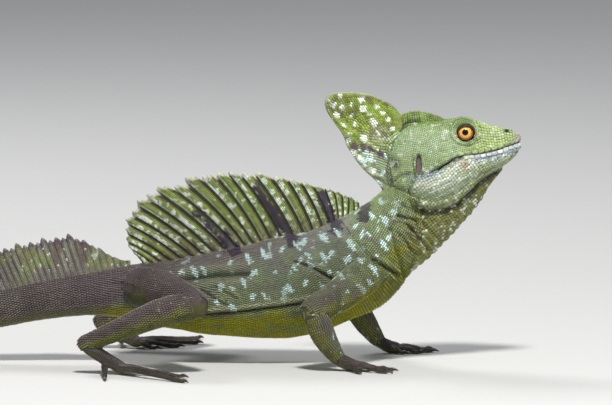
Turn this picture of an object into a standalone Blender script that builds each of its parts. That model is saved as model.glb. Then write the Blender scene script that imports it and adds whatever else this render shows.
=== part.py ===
"""Green basilisk, an adult male at life size, standing with its head raised.

+X runs towards the snout, +Y to the animal's left and +Z up, with the floor at z = 0.
Sizes below are in millimetres and become metres where the meshes are made.
The body, tail and limbs are lofts: rings of points round a smooth line through named stations.
Each piece is cut back from its neighbour's shape grown by GAP, so that the two meet face to face.
"""

import math

import bmesh
import bpy
from mathutils import Matrix, Vector

MM = 0.001
GAP = 0.3
MERGE = 0.001
FLOOR_DEPTH = 20.0

BODY_SIDES = 22
TAIL_SIDES = 12
LIMB_SIDES = 12
DIGIT_SIDES = 6

# Spine stations: x, y, z of the centre, then the reach up, the reach down and the half width.
NECK_TOP = (67.5, 0.0, 83.5, 10.5, 13.0, 11.2)
NECK_HIGH = (62.8, 0.0, 73.5, 12.7, 16.5, 12.3)
NECK_LOW = (54.1, 0.0, 61.4, 16.9, 20.4, 13.4)
SHOULDER = (42.3, 0.0, 50.6, 20.7, 25.6, 15.6)
CHEST = (27.3, 0.0, 43.0, 21.2, 25.6, 18.4)
RIBS = (9.4, 0.0, 37.3, 23.3, 26.0, 20.2)
BELLY = (-9.4, 0.0, 34.0, 21.9, 22.7, 20.0)
LOIN = (-28.2, 0.0, 32.8, 19.7, 19.8, 17.8)
PELVIS = (-47.0, 0.0, 33.1, 15.7, 17.0, 15.2)
VENT = (-65.8, 0.0, 33.4, 12.6, 13.4, 11.8)
BODY_STATIONS = (NECK_TOP, NECK_HIGH, NECK_LOW, SHOULDER, CHEST, RIBS, BELLY, LOIN, PELVIS, VENT)

# Tail stations: x, y, and the height of the centre while it is in the air, then the half height.
TAIL_RAISED = (
    (-84.6, 0.0, 32.3, 10.4),
    (-103.4, 0.1, 29.9, 9.6),
    (-122.2, 0.4, 26.2, 9.0),
    (-160.0, 1.8, 17.8, 8.2),
    (-200.0, 5.0, 10.2, 7.5),
)
# On the floor the centre lies at its own half height: x, y, half height.
TAIL_LAID = (
    (-243.0, 11.0, 6.8),
    (-295.0, 21.5, 6.1),
    (-348.0, 31.0, 5.4),
    (-401.0, 33.0, 4.7),
    (-453.0, 23.0, 4.0),
    (-503.0, 1.0, 3.3),
    (-547.0, -32.0, 2.6),
    (-581.0, -72.0, 1.9),
    (-603.0, -112.0, 1.3),
)
TAIL_FLATNESS = 0.84
TAIL_SINK_SHARE = 0.15
# Places along the spine, by station number: the cuts between the nodes, and the vent.
NECK_CUT = 2.72
TORSO_CUT = 8.72
TAIL_CUTS = (11.0, 13.0, 15.0, 17.0, 20.0)
VENT_AT = 9.0
BACK_POWER = 1.18
BELLY_POWER = 0.86
RING_STEP = 0.25

# Head stations: (half width, height) of the brow, eye line, mouth and jaw, between crown and chin heights.
HEAD_STATIONS = (
    # x, crown, brow, eye line, mouth, jaw, chin
    (117.4, 107.6, (1.5, 106.9), (2.5, 105.8), (2.9, 104.2), (2.6, 101.8), 99.3),
    (115.2, 109.4, (2.8, 108.8), (4.2, 106.6), (4.8, 103.3), (4.3, 99.8), 97.0),
    (111.4, 110.6, (4.1, 110.0), (5.6, 106.8), (6.4, 101.9), (5.9, 97.6), 93.6),
    (105.8, 111.1, (5.6, 110.6), (6.9, 106.1), (8.2, 100.1), (7.9, 95.3), 90.1),
    (99.6, 113.1, (7.5, 112.3), (8.8, 107.3), (10.2, 98.6), (10.0, 92.5), 86.2),
    (92.1, 115.6, (9.4, 115.0), (10.9, 107.8), (11.9, 97.7), (12.3, 88.6), 79.4),
    (84.6, 114.8, (9.6, 113.6), (11.9, 104.9), (13.0, 94.6), (13.9, 84.2), 74.6),
    (77.6, 114.1, (8.9, 112.2), (12.2, 102.1), (13.6, 90.2), (14.4, 81.8), 72.7),
    (70.5, 113.8, (8.1, 111.1), (11.7, 100.2), (13.3, 88.6), (13.6, 81.2), 72.6),
    (64.9, 112.1, (6.6, 108.6), (10.2, 99.2), (11.9, 88.9), (12.0, 82.2), 75.2),
    (59.9, 108.6, (4.6, 105.0), (8.0, 97.6), (9.6, 89.2), (9.4, 83.6), 78.2),
    (55.6, 102.6, (2.6, 99.8), (4.6, 94.8), (5.6, 89.4), (5.2, 86.0), 83.0),
)
HEAD_RINGS = 22
MOUTH_HALF_HEIGHT = 0.45
MOUTH_DEPTH = 1.1
MOUTH_CORNER_X = 80.0
MOUTH_FADE = 8.0

EYE_PLACE = (92.0, 7.2, 108.8)
EYE_RADIUS = 5.0
LID_RADIUS = 6.15
EYE_OPENING = (4.1, 3.5)
NOSTRIL_PLACE = (111.0, 5.0, 108.9)
NOSTRIL_RADIUS = 0.85
EAR_PLACE = (70.0, 13.7, 93.0)
EAR_REACH = (1.7, 1.5, 4.8)

# Throat stations: x, top height, bottom height, half width at the top, half width near the bottom.
THROAT_STATIONS = (
    (109.4, 94.0, 90.6, 3.2, 2.0),
    (106.0, 94.0, 86.6, 5.0, 2.4),
    (102.5, 92.0, 81.9, 6.8, 2.8),
    (97.8, 90.0, 73.6, 8.6, 3.2),
    (92.1, 87.0, 67.4, 9.8, 3.6),
    (86.5, 84.0, 60.8, 10.6, 4.0),
    (81.3, 82.0, 55.4, 11.0, 4.2),
    (76.1, 80.0, 49.9, 11.2, 4.4),
    (70.5, 78.0, 45.6, 11.2, 4.6),
    (65.8, 77.0, 40.6, 11.0, 4.8),
    (62.3, 77.0, 38.6, 10.8, 5.0),
)

# Outlines of the fins in the plane of symmetry: x and z of the edge, front to rear.
MAIN_CREST_EDGE = (
    (62.2, 115.2),
    (61.0, 118.4),
    (53.4, 124.0),
    (45.0, 126.9),
    (35.0, 127.7),
    (28.3, 126.7),
    (25.9, 122.8),
    (29.4, 114.6),
    (34.6, 106.6),
    (38.6, 98.6),
    (44.4, 91.0),
    (50.6, 85.2),
    (54.6, 79.0),
)
MAIN_CREST_ROOT = ((62.4, 108.0), (62.6, 98.0), (60.4, 86.0), (58.5, 77.0))
FRONT_CREST_EDGE = (
    (64.2, 114.2),
    (64.4, 117.2),
    (66.4, 118.5),
    (70.6, 118.7),
    (75.0, 117.6),
    (79.6, 115.9),
    (83.4, 113.9),
)
FRONT_CREST_ROOT = ((64.6, 109.0), (82.0, 110.5))

# Rays of the sail, front to rear: the station of the root, then x and z of the tip.
BACK_CREST_TIPS = (
    (1.95, 41.8, 75.4),
    (2.30, 38.3, 77.8),
    (2.65, 33.4, 80.2),
    (3.00, 27.0, 82.4),
    (3.40, 18.4, 84.6),
    (3.92, 8.6, 87.3),
    (4.40, -3.3, 88.9),
    (4.94, -14.4, 89.6),
    (5.42, -23.6, 90.2),
    (5.80, -34.8, 88.0),
    (6.18, -45.0, 84.4),
    (6.68, -55.2, 80.4),
    (7.18, -62.4, 75.2),
    (7.62, -67.0, 68.6),
    (8.04, -68.0, 61.6),
    (8.42, -66.6, 55.2),
    (8.70, -62.6, 50.6),
)
BACK_CREST_NOTCH = 0.055
BACK_CREST_BOW = 0.035
RAY_HALF = 1.15
WEB_HALF = 0.36

TAIL_CREST_START = 8.95
TAIL_CREST_HEIGHT = 17.4
TAIL_CREST_RISE = 24.0
TAIL_CREST_LEVEL = 95.0
TAIL_CREST_LENGTH = 236.0
TAIL_CREST_PITCH = 5.6
TAIL_CREST_LEAN = 0.24
TAIL_CREST_NOTCH = 0.20

# Limb lines: x, y (outwards), z and radius. The y of a right limb is turned round.
ARM_RIGHT = (
    (48.0, 6.0, 45.5, 9.2),
    (40.5, 19.5, 39.5, 8.8),
    (30.5, 30.5, 33.6, 7.8),
    (21.0, 37.5, 28.6, 6.9),
)
FOREARM_RIGHT = (
    (21.2, 37.6, 28.4, 6.5),
    (24.0, 38.2, 19.6, 6.1),
    (28.0, 37.6, 11.8, 5.0),
    (31.6, 36.8, 6.6, 3.8),
)
HAND_RIGHT = ((31.8, 36.8, 6.0, 3.5), (36.0, 37.2, 3.7, 3.7), (40.4, 37.6, 2.5, 3.2))
ARM_LEFT = (
    (48.0, 6.0, 45.5, 9.2),
    (46.0, 20.0, 39.0, 8.8),
    (42.0, 32.0, 32.0, 7.8),
    (37.8, 39.5, 26.6, 6.9),
)
FOREARM_LEFT = (
    (38.0, 39.6, 26.4, 6.5),
    (42.4, 39.4, 18.8, 6.1),
    (47.0, 37.6, 11.6, 5.0),
    (51.0, 35.6, 6.6, 3.8),
)
HAND_LEFT = ((51.2, 35.6, 6.0, 3.5), (55.4, 35.4, 3.7, 3.7), (59.8, 35.4, 2.5, 3.2))
THIGH_RIGHT = (
    (-61.0, 4.0, 35.6, 10.0),
    (-54.5, 20.0, 36.6, 10.2),
    (-45.5, 36.0, 35.6, 9.2),
    (-35.4, 50.0, 32.8, 7.3),
)
SHANK_RIGHT = (
    (-35.6, 50.4, 32.4, 6.9),
    (-52.0, 52.0, 28.6, 6.9),
    (-70.0, 50.4, 21.0, 5.2),
    (-86.0, 47.4, 14.2, 4.1),
)
FOOT_RIGHT = ((-86.2, 47.4, 13.6, 3.9), (-79.0, 48.6, 8.8, 3.8), (-69.6, 50.4, 3.4, 3.5))
THIGH_LEFT = (
    (-61.0, 4.0, 35.6, 10.0),
    (-52.5, 20.0, 36.2, 10.2),
    (-42.0, 36.0, 34.6, 9.2),
    (-31.6, 49.0, 31.4, 7.3),
)
SHANK_LEFT = (
    (-31.8, 49.4, 31.0, 6.9),
    (-47.6, 52.6, 26.6, 6.9),
    (-64.8, 53.4, 19.4, 5.2),
    (-80.2, 52.2, 13.4, 4.1),
)
FOOT_LEFT = ((-80.4, 52.2, 12.8, 3.9), (-73.2, 53.6, 8.4, 3.8), (-63.8, 55.4, 3.4, 3.5))

# Digits, first to fifth: length, turn outwards in degrees, and how far back along the palm they start.
FINGERS = ((8.5, -42.0, 2.6), (13.0, -16.0, 0.6), (17.0, 6.0, 0.0), (18.0, 29.0, 0.8), (12.0, 62.0, 3.0))
TOES = ((13.0, -30.0, 3.4), (21.0, -5.0, 1.0), (33.0, 17.0, 0.0), (46.0, 37.0, 0.8), (25.0, 78.0, 7.0))
FINGER_RADIUS = (1.75, 1.15)
TOE_RADIUS = (1.9, 1.15)
CLAW_LENGTH = 3.3

SKIN_GREEN = (0.20, 0.33, 0.07, 1.0)
SKIN_BROWN = (0.16, 0.15, 0.09, 1.0)
THROAT_YELLOW = (0.30, 0.33, 0.07, 1.0)
CREST_GREEN = (0.21, 0.30, 0.05, 1.0)
EYE_ORANGE = (0.80, 0.33, 0.03, 1.0)


def material(name, colour, roughness):
    made = bpy.data.materials.new(name)
    made.use_nodes = True
    shader = made.node_tree.nodes["Principled BSDF"]
    shader.inputs["Base Color"].default_value = colour
    shader.inputs["Roughness"].default_value = roughness
    shader.inputs["Metallic"].default_value = 0.0
    return made


def spline(values, at):
    """The tuple at a station number on a smooth curve through the tuples, by Catmull and Rom's rule."""
    last = len(values) - 1
    index = min(max(int(math.floor(at)), 0), last - 1)
    t = at - index
    found = []
    for b, c, k in zip(values[index], values[index + 1], range(len(values[0]))):
        a = values[index - 1][k] if index > 0 else 2 * b - c
        d = values[index + 2][k] if index + 2 <= last else 2 * c - b
        found.append(
            0.5 * (2 * b + (c - a) * t + (2 * a - 5 * b + 4 * c - d) * t**2 + (3 * b - a - 3 * c + d) * t**3)
        )
    return found


def spread(start, end, count):
    return [start + (end - start) * i / (count - 1) for i in range(count)]


def smooth_step(value):
    value = min(max(value, 0.0), 1.0)
    return value * value * (3 - 2 * value)


def solid(name, points, faces):
    """An object from points in millimetres, with its faces turned outwards."""
    mesh = bpy.data.meshes.new(name)
    mesh.from_pydata([Vector(p) * MM for p in points], [], faces)
    work = bmesh.new()
    work.from_mesh(mesh)
    bmesh.ops.recalc_face_normals(work, faces=work.faces)
    work.to_mesh(mesh)
    work.free()
    made = bpy.data.objects.new(name, mesh)
    bpy.context.scene.collection.objects.link(made)
    return made


def loft(name, rings):
    """A closed solid through rings of equal counts, with a point in the middle of each end."""
    sides = len(rings[0])
    points = [p for ring in rings for p in ring]
    faces = []
    for r in range(len(rings) - 1):
        for s in range(sides):
            n = (s + 1) % sides
            a, b = r * sides + s, r * sides + n
            faces.append((a, b, b + sides))
            faces.append((a, b + sides, a + sides))
    for ring, start in ((rings[0], 0), (rings[-1], (len(rings) - 1) * sides)):
        points.append(sum(ring, Vector()) / sides)
        for s in range(sides):
            faces.append((start + s, start + (s + 1) % sides, len(points) - 1))
    return solid(name, points, faces)


def frame_along(line, at, step=0.02):
    """Centre, forward and sideways directions on a line of stations, with sideways kept level."""
    last = len(line) - 1
    ahead = Vector(spline(line, min(at + step, last))[:3])
    behind = Vector(spline(line, max(at - step, 0))[:3])
    forward = (ahead - behind).normalized()
    side = Vector((0, 0, 1)).cross(forward).normalized()
    return Vector(spline(line, at)[:3]), forward, side


def spine_line():
    """All stations from the top of the neck to the tip of the tail, as x, y, z, up, down and half width."""
    line = list(BODY_STATIONS)
    for x, y, z, half in TAIL_RAISED:
        line.append((x, y, z, half, half, half * TAIL_FLATNESS))
    for x, y, half in TAIL_LAID:
        line.append((x, y, half * (1 - TAIL_SINK_SHARE), half, half, half * TAIL_FLATNESS))
    return line


SPINE = spine_line()


def spine_ring(at, sides, grow):
    """A ring across the spine: narrow along the back and full below on the body, and oval on the tail."""
    centre, forward, side = frame_along(SPINE, at)
    above = forward.cross(side)
    up, down, half = (value + grow for value in spline(SPINE, at)[3:6])
    blend = smooth_step((at - VENT_AT) / 1.5)
    ridge, belly = BACK_POWER + (1 - BACK_POWER) * blend, BELLY_POWER + (1 - BELLY_POWER) * blend
    ring = []
    for s in range(sides):
        turn = 2 * math.pi * s / sides
        rise, out = math.cos(turn), math.sin(turn)
        width = half * math.copysign(abs(out) ** (ridge if rise > 0 else belly), out)
        point = centre + above * rise * (up if rise > 0 else down) + side * width
        point.z = max(point.z, -grow)
        ring.append(point)
    return ring


def spine_loft(name, start, end, sides, grow=0.0):
    """A length of the animal between two stations. Rings keep to one grid, so neighbours' facets agree."""
    first, last = math.floor(start / RING_STEP) + 1, math.ceil(end / RING_STEP) - 1
    inner = [k * RING_STEP for k in range(first, last + 1)]
    inner = [at for at in inner if at - start > RING_STEP * 0.3 and end - at > RING_STEP * 0.3]
    return loft(name, [spine_ring(at, sides, grow) for at in (start, *inner, end)])


def limb(name, line, sides, rings, grow=0.0, squash=1.0, cap_lifts=(72, 36)):
    """A tube through (x, y, z, radius) stations with rounded ends. squash scales its height."""
    last = len(line) - 1
    made = []

    def ring(centre, forward, radius):
        side = Vector((0, 0, 1)).cross(forward)
        if side.length < 0.05:
            side = Vector((0, 1, 0))
        side.normalize()
        above = forward.cross(side)
        found = []
        for s in range(sides):
            turn = 2 * math.pi * (s + 0.5) / sides
            found.append(centre + side * radius * math.cos(turn) + above * radius * squash * math.sin(turn))
        return found

    def cap(at, direction):
        centre, forward, _ = frame_along(line, at)
        radius = spline(line, at)[3] + grow
        return [
            ring(centre + forward * direction * radius * math.sin(lift), forward, radius * math.cos(lift))
            for lift in map(math.radians, cap_lifts)
        ]

    made += cap(0, -1)
    for at in spread(0, last, rings):
        centre, forward, _ = frame_along(line, at)
        made.append(ring(centre, forward, spline(line, at)[3] + grow))
    made += reversed(cap(last, 1))
    return loft(name, made)


def ball(name, place, reach, rows=10, columns=14):
    """An ellipsoid round a place, with its poles along y."""
    rings = []
    for row in range(1, rows):
        lift = math.pi * row / rows
        ring = []
        for column in range(columns):
            turn = 2 * math.pi * column / columns
            ring.append(
                Vector(place)
                + Vector(
                    (
                        reach[0] * math.sin(lift) * math.cos(turn),
                        -reach[1] * math.cos(lift),
                        reach[2] * math.sin(lift) * math.sin(turn),
                    )
                )
            )
        rings.append(ring)
    made = loft(name, rings)
    for vertex, way in ((len(rings) * columns, -1), (len(rings) * columns + 1, 1)):
        made.data.vertices[vertex].co = (Vector(place) + Vector((0, way * reach[1], 0))) * MM
    return made


def settle(target):
    """Replaces the mesh by what its modifiers make of it, and keeps its largest closed surface."""
    graph = bpy.context.evaluated_depsgraph_get()
    mesh = bpy.data.meshes.new_from_object(target.evaluated_get(graph))
    target.modifiers.clear()
    work = bmesh.new()
    work.from_mesh(mesh)
    left, islands = set(work.faces), []
    while left:
        group, stack = set(), [next(iter(left))]
        while stack:
            face = stack.pop()
            if face in group:
                continue
            group.add(face)
            stack.extend(other for edge in face.edges for other in edge.link_faces)
        left -= group
        islands.append(group)
    islands.sort(key=len)
    bmesh.ops.delete(work, geom=[face for group in islands[:-1] for face in group], context="FACES")
    bmesh.ops.dissolve_degenerate(work, dist=MERGE * MM, edges=work.edges)
    bmesh.ops.triangulate(work, faces=work.faces)
    work.to_mesh(mesh)
    work.free()
    target.data = mesh
    return target


def carve(target, *cutters, solver="EXACT"):
    """Cuts each cutter out of the target and removes the cutters."""
    for cutter in cutters:
        cut = target.modifiers.new("cut", "BOOLEAN")
        cut.operation = "DIFFERENCE"
        cut.solver = solver
        cut.object = cutter
        settle(target)
        bpy.data.objects.remove(cutter)
    return target


def fuse(target, pieces, solver="EXACT"):
    """Joins the pieces to the target with one union and removes them."""
    group = bpy.data.collections.new("pieces")
    bpy.context.scene.collection.children.link(group)
    for piece in pieces:
        bpy.context.scene.collection.objects.unlink(piece)
        group.objects.link(piece)
    join = target.modifiers.new("join", "BOOLEAN")
    join.operation = "UNION"
    join.solver = solver
    join.operand_type = "COLLECTION"
    join.collection = group
    settle(target)
    for piece in pieces:
        bpy.data.objects.remove(piece)
    bpy.data.collections.remove(group)
    return target


def floor_cutter():
    """A block under the floor that gives feet their flats."""
    bpy.ops.mesh.primitive_cube_add(size=1)
    block = bpy.context.object
    block.data.transform(Matrix.Diagonal((1.6, 0.6, FLOOR_DEPTH * MM, 1)))
    block.data.transform(Matrix.Translation((-0.2, 0, -FLOOR_DEPTH * MM / 2)))
    return block


def head_profile(at):
    """Half widths and heights down one side of the head at a station number, with the mouth line marked."""
    flat = []
    for x, crown, brow, eye_line, mouth, jaw, chin in HEAD_STATIONS:
        flat.append((x, 0.0, crown, *brow, *eye_line, *mouth, *jaw, 0.0, chin))
    values = spline(flat, at)
    return values[0], [(values[k], values[k + 1]) for k in range(1, len(values), 2)]


def head_side(at, grow):
    """Points from crown to chin on one side of the head, with the groove of the mouth."""
    x, marks = head_profile(at)
    crown, chin = marks[0], marks[-1]
    mirrored = [(-marks[1][0], marks[1][1]), *marks, (-marks[-2][0], marks[-2][1])]
    steps = [0, 0.34, 0.67, 1, 1.33, 1.67, 2, 2.33, 2.67]
    reach = math.dist(marks[3], marks[4]) or 1.0
    lip = min(0.2, MOUTH_HALF_HEIGHT / reach)
    steps += [3 - lip, 3, 3 + lip, 3.34, 3.67, 4, 4.25, 4.5, 4.75, 5]
    depth = MOUTH_DEPTH * smooth_step((x - MOUTH_CORNER_X + MOUTH_FADE) / MOUTH_FADE)
    depth = min(depth, 0.35 * marks[3][0])
    centre = Vector((0, (crown[1] + chin[1]) / 2))
    side = []
    for step in steps:
        point = Vector(spline(mirrored, step + 1))
        if step in (0, 5):
            point.x = 0.0
        if step == 3 and not grow:
            point.x -= depth
        if grow:
            point += (point - centre).normalized() * grow
            if step in (0, 5):
                point.x = 0.0
        side.append((max(point.x, 0.0), point.y))
    return x, side


def head_shape(name, grow=0.0):
    last = len(HEAD_STATIONS) - 1
    rings = []
    ends = (-grow * 0.4, last + grow * 0.2)
    for at in spread(0.0, last, HEAD_RINGS):
        x, side = head_side(at, grow)
        if grow and at == 0.0:
            x -= ends[0]
        if grow and at == last:
            x -= grow
        right = [Vector((x, -w, z)) for w, z in side]
        left = [Vector((x, w, z)) for w, z in reversed(side[1:-1])]
        rings.append(right + left)
    x, side = head_side(0.0, grow)
    middle = side[10][1]
    nose = [Vector((x + 0.75, p.y * 0.6, middle + (p.z - middle) * 0.62)) for p in rings[0]]
    rings.insert(0, nose)
    return loft(name, rings)


def mirrored(place, side):
    return (place[0], place[1] * side, place[2])


def make_head():
    head = head_shape("head")
    lids = [ball("lid", mirrored(EYE_PLACE, side), (LID_RADIUS,) * 3, 10, 14) for side in (-1, 1)]
    fuse(head, lids)
    for side in (-1, 1):
        place = Vector(mirrored(EYE_PLACE, side))
        opening = []
        for reach, width in ((0.0, 0.6), (3.6, 0.94), (5.4, 1.06), (9.0, 1.2)):
            ring = []
            for s in range(14):
                turn = 2 * math.pi * s / 14
                ring.append(
                    place
                    + Vector(
                        (
                            EYE_OPENING[0] * width * math.cos(turn),
                            side * reach,
                            EYE_OPENING[1] * width * math.sin(turn),
                        )
                    )
                )
            opening.append(ring)
        socket = ball("socket", place, (EYE_RADIUS + GAP,) * 3, 8, 12)
        nostril = ball("nostril", mirrored(NOSTRIL_PLACE, side), (NOSTRIL_RADIUS,) * 3, 6, 8)
        ear = ball("ear", mirrored(EAR_PLACE, side), EAR_REACH, 8, 10)
        carve(head, loft("opening", opening), socket, nostril, ear)
    return head


def make_eyes():
    eyes = {}
    for label, side in (("left", 1), ("right", -1)):
        name = f"eye_{label}"
        eyes[name] = ball(name, mirrored(EYE_PLACE, side), (EYE_RADIUS,) * 3, 9, 14)
    return eyes


def throat_shape(name, grow=0.0):
    rings = []
    last = len(THROAT_STATIONS) - 1
    for at in spread(0, last, 12):
        x, top, bottom, wide, narrow = spline(THROAT_STATIONS, at)
        x += grow if at == 0 else -grow if at == last else 0.0
        top, bottom, wide, narrow = top + grow, bottom - grow, wide + grow, narrow + grow
        side = []
        for drop in (0.0, 0.25, 0.5, 0.72, 0.88, 0.97):
            width = narrow + (wide - narrow) * (1 - drop) ** 0.85
            if drop > 0.85:
                width *= 0.93 if drop < 0.95 else 0.6
            side.append((width, top + (bottom - top) * drop))
        right = [Vector((x, -w, z)) for w, z in side] + [Vector((x, 0, bottom))]
        left = [Vector((x, w, z)) for w, z in reversed(side)] + [Vector((x, 0, top))]
        rings.append(right + left)
    return loft(name, rings)


def fin(name, columns, rows, half_at):
    """A closed plate from columns of (root, edge, bow) in the xz plane or beside it.

    half_at(u, v) gives the half thickness, and both faces are split into the same triangles.
    """
    points, faces = [], []
    count = len(columns)
    for face in (-1, 1):
        for u, (root, edge, bow, side) in enumerate(columns):
            for row in range(rows + 1):
                v = row / rows
                centre = root.lerp(edge, v) + bow * (4 * v * (1 - v))
                points.append(centre + side * (face * half_at(u, v)))
    layer = count * (rows + 1)

    def spot(face, u, row):
        return face * layer + u * (rows + 1) + row

    for face in (0, 1):
        for u in range(count - 1):
            for row in range(rows):
                a, b = spot(face, u, row), spot(face, u + 1, row)
                c, d = spot(face, u + 1, row + 1), spot(face, u, row + 1)
                faces += [(a, b, c), (a, c, d)]
    rim = [(u, 0) for u in range(count)] + [(count - 1, row) for row in range(1, rows + 1)]
    rim += [(u, rows) for u in range(count - 2, -1, -1)] + [(0, row) for row in range(rows - 1, 0, -1)]
    for (u, row), (next_u, next_row) in zip(rim, rim[1:] + rim[:1]):
        a, b = spot(0, u, row), spot(0, next_u, next_row)
        c, d = spot(1, next_u, next_row), spot(1, u, row)
        faces += [(a, b, c), (a, c, d)]
    return solid(name, points, faces)


def in_plane(pair):
    return Vector((pair[0], 0.0, pair[1]))


def outline(points, count):
    """Points spread evenly by station along a smooth line through (x, z) pairs."""
    return [in_plane(spline(points, at)) for at in spread(0, len(points) - 1, count)]


def lobe_fin(name, root, edge, count, rows, root_half, edge_half):
    """A fin with faint radial folds, for the lobes on the head."""
    side = Vector((0, 1, 0))
    none = Vector()
    columns = [(r, e, none, side) for r, e in zip(outline(root, count), outline(edge, count))]

    def half_at(u, v):
        fold = 0.22 * (1 if u % 2 else -1) * math.sin(math.pi * v)
        return root_half + (edge_half - root_half) * v**0.7 + fold

    return fin(name, columns, rows, half_at)


def root_at(at):
    """The place on the back at a station where a fin starts, and the directions along and away from it."""
    centre, forward, side = frame_along(SPINE, at)
    above = forward.cross(side)
    return centre + above * (spline(SPINE, at)[3] + GAP), forward, side, above


def back_crest():
    """The sail: a fan of bony rays with thin skin between them, each ray ending in a point."""
    columns = []
    last = 3 * (len(BACK_CREST_TIPS) - 1)
    for column in range(last + 1):
        station, x, z = spline(BACK_CREST_TIPS, column / 3)
        root, _, side, _ = root_at(station)
        tip = in_plane((x, z))
        if column % 3:
            tip = tip.lerp(root, BACK_CREST_NOTCH)
        reach = tip - root
        bow = Vector((-reach.z, 0, reach.x)) * -BACK_CREST_BOW
        columns.append((root, tip, bow, side))

    def half_at(u, v):
        ray = 1.0 if u % 3 == 0 else 0.0
        return WEB_HALF + ray * (RAY_HALF - WEB_HALF) * (1 - 0.55 * v)

    return fin("crest_back", columns, 6, half_at)


def tail_crest_height(distance):
    """Height of the fin on the tail at a distance behind its start."""
    rise = smooth_step(distance / TAIL_CREST_RISE)
    fall = 1 - smooth_step((distance - TAIL_CREST_LEVEL) / (TAIL_CREST_LENGTH - TAIL_CREST_LEVEL))
    return 2.0 + TAIL_CREST_HEIGHT * rise * (0.1 + 0.9 * fall)


def tail_crests():
    """The fin along the front part of the tail, in two lengths, with a point at every second ray."""
    columns, walked, at = [], 0.0, TAIL_CREST_START
    place = root_at(at)[0]
    while walked < TAIL_CREST_LENGTH:
        root, forward, side, above = root_at(at)
        height = tail_crest_height(walked)
        if len(columns) % 2:
            height *= 1 - TAIL_CREST_NOTCH
        elif len(columns) % 4 == 2:
            height *= 1 - TAIL_CREST_NOTCH * 0.45
        edge = root + above * height + forward * height * TAIL_CREST_LEAN
        columns.append((root, edge, Vector(), side, forward * GAP))
        target = walked + TAIL_CREST_PITCH / 2
        while walked < target:
            at += 0.005
            ahead = root_at(at)[0]
            walked += (ahead - place).length
            place = ahead

    def half_at(u, v):
        ray = 0.0 if u % 2 else 1.0
        return 0.34 + ray * 0.5 * (1 - 0.5 * v) + 0.3 * (1 - v)

    half_way = len(columns) // 4 * 2
    outlines = [column[:4] for column in columns]
    lengths = [outlines[: half_way + 1], outlines[half_way:]]
    root, edge, bow, side, step = columns[half_way]
    lengths[1][0] = (root + step, edge + step, bow, side)
    return [fin(f"crest_tail_{n}", length, 2, half_at) for n, length in enumerate(lengths, 1)]


def sided(line, side):
    return [(x, y * side, z, r) for x, y, z, r in line]


def digit(base, heading, length, radii, side):
    """One finger or toe with its claw: arched over its joints, with its tip on the floor."""
    turn = Vector((math.cos(heading), side * math.sin(heading), 0))
    thick, thin = radii
    start = max(base.z, thick) - 0.2
    rest = thin * 0.84
    marks = [
        (length * share, start + (rest - start) * share**0.8 + lift, radius)
        for share, lift, radius in (
            (0.0, 0.0, thick),
            (0.28, 0.9, thick * 0.94),
            (0.58, 0.35, thin * 1.14),
            (0.84, -0.1, thin * 1.06),
            (1.0, -0.05, thin * 0.9),
        )
    ]
    for share, lift, radius in ((0.12, 0.34, 0.72), (0.5, 0.26, 0.52), (1.0, -0.36, 0.14)):
        marks.append((length + CLAW_LENGTH * share, rest + lift, radius))
    line = []
    for reach, height, radius in marks:
        spot = base + turn * reach
        line.append((spot.x, spot.y, height, radius))
    return limb("digit", line, DIGIT_SIDES, 8, cap_lifts=(50,))


def paw(name, line, digits, radii, side, upper):
    """A hand or foot: its palm with five clawed digits, cut back from the limb above, flat on the floor."""
    mirrored_line = sided(line, side)
    palm = limb(name, mirrored_line, 10, 5, squash=0.86)
    end = Vector(mirrored_line[-1][:3])
    behind = Vector(mirrored_line[-2][:3])
    forward = Vector((end.x - behind.x, end.y - behind.y, 0)).normalized()
    lead = math.atan2(forward.y * side, forward.x)
    across = Vector((-forward.y, forward.x, 0)) * side
    pieces = []
    for order, (length, turn, back) in enumerate(digits):
        base = end + across * (order - 2) * 1.05 - forward * back
        base.z = end.z + back * 0.12
        pieces.append(digit(base, lead + math.radians(turn), length, radii, side))
    fuse(palm, pieces, solver="MANIFOLD")
    cutters = limb("upper", sided(upper, side), LIMB_SIDES, 7, grow=GAP), floor_cutter()
    carve(palm, *cutters, solver="MANIFOLD")
    return palm


def make_limbs():
    """All four limbs. Each piece is cut back from the one that carries it."""
    made = {}
    arm = ("upper_arm", "forearm", "hand")
    leg = ("thigh", "shank", "foot")
    plans = (
        ("left", 1, *arm, ARM_LEFT, FOREARM_LEFT, HAND_LEFT, FINGERS, FINGER_RADIUS),
        ("right", -1, *arm, ARM_RIGHT, FOREARM_RIGHT, HAND_RIGHT, FINGERS, FINGER_RADIUS),
        ("left", 1, *leg, THIGH_LEFT, SHANK_LEFT, FOOT_LEFT, TOES, TOE_RADIUS),
        ("right", -1, *leg, THIGH_RIGHT, SHANK_RIGHT, FOOT_RIGHT, TOES, TOE_RADIUS),
    )
    for label, side, first, second, third, root_line, middle_line, end_line, digits, radii in plans:
        root = limb(f"{first}_{label}", sided(root_line, side), LIMB_SIDES, 8)
        trunk = spine_loft("trunk", NECK_CUT - 0.75, TORSO_CUT, BODY_SIDES, grow=GAP)
        carve(root, trunk, spine_loft("trunk", TORSO_CUT - 0.1, TAIL_CUTS[0], TAIL_SIDES, grow=GAP))
        middle = limb(f"{second}_{label}", sided(middle_line, side), LIMB_SIDES, 7)
        carve(middle, limb("upper", sided(root_line, side), LIMB_SIDES, 8, grow=GAP))
        end = paw(f"{third}_{label}", end_line, digits, radii, side, middle_line)
        made |= {f"{first}_{label}": root, f"{second}_{label}": middle, f"{third}_{label}": end}
    return made


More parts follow.
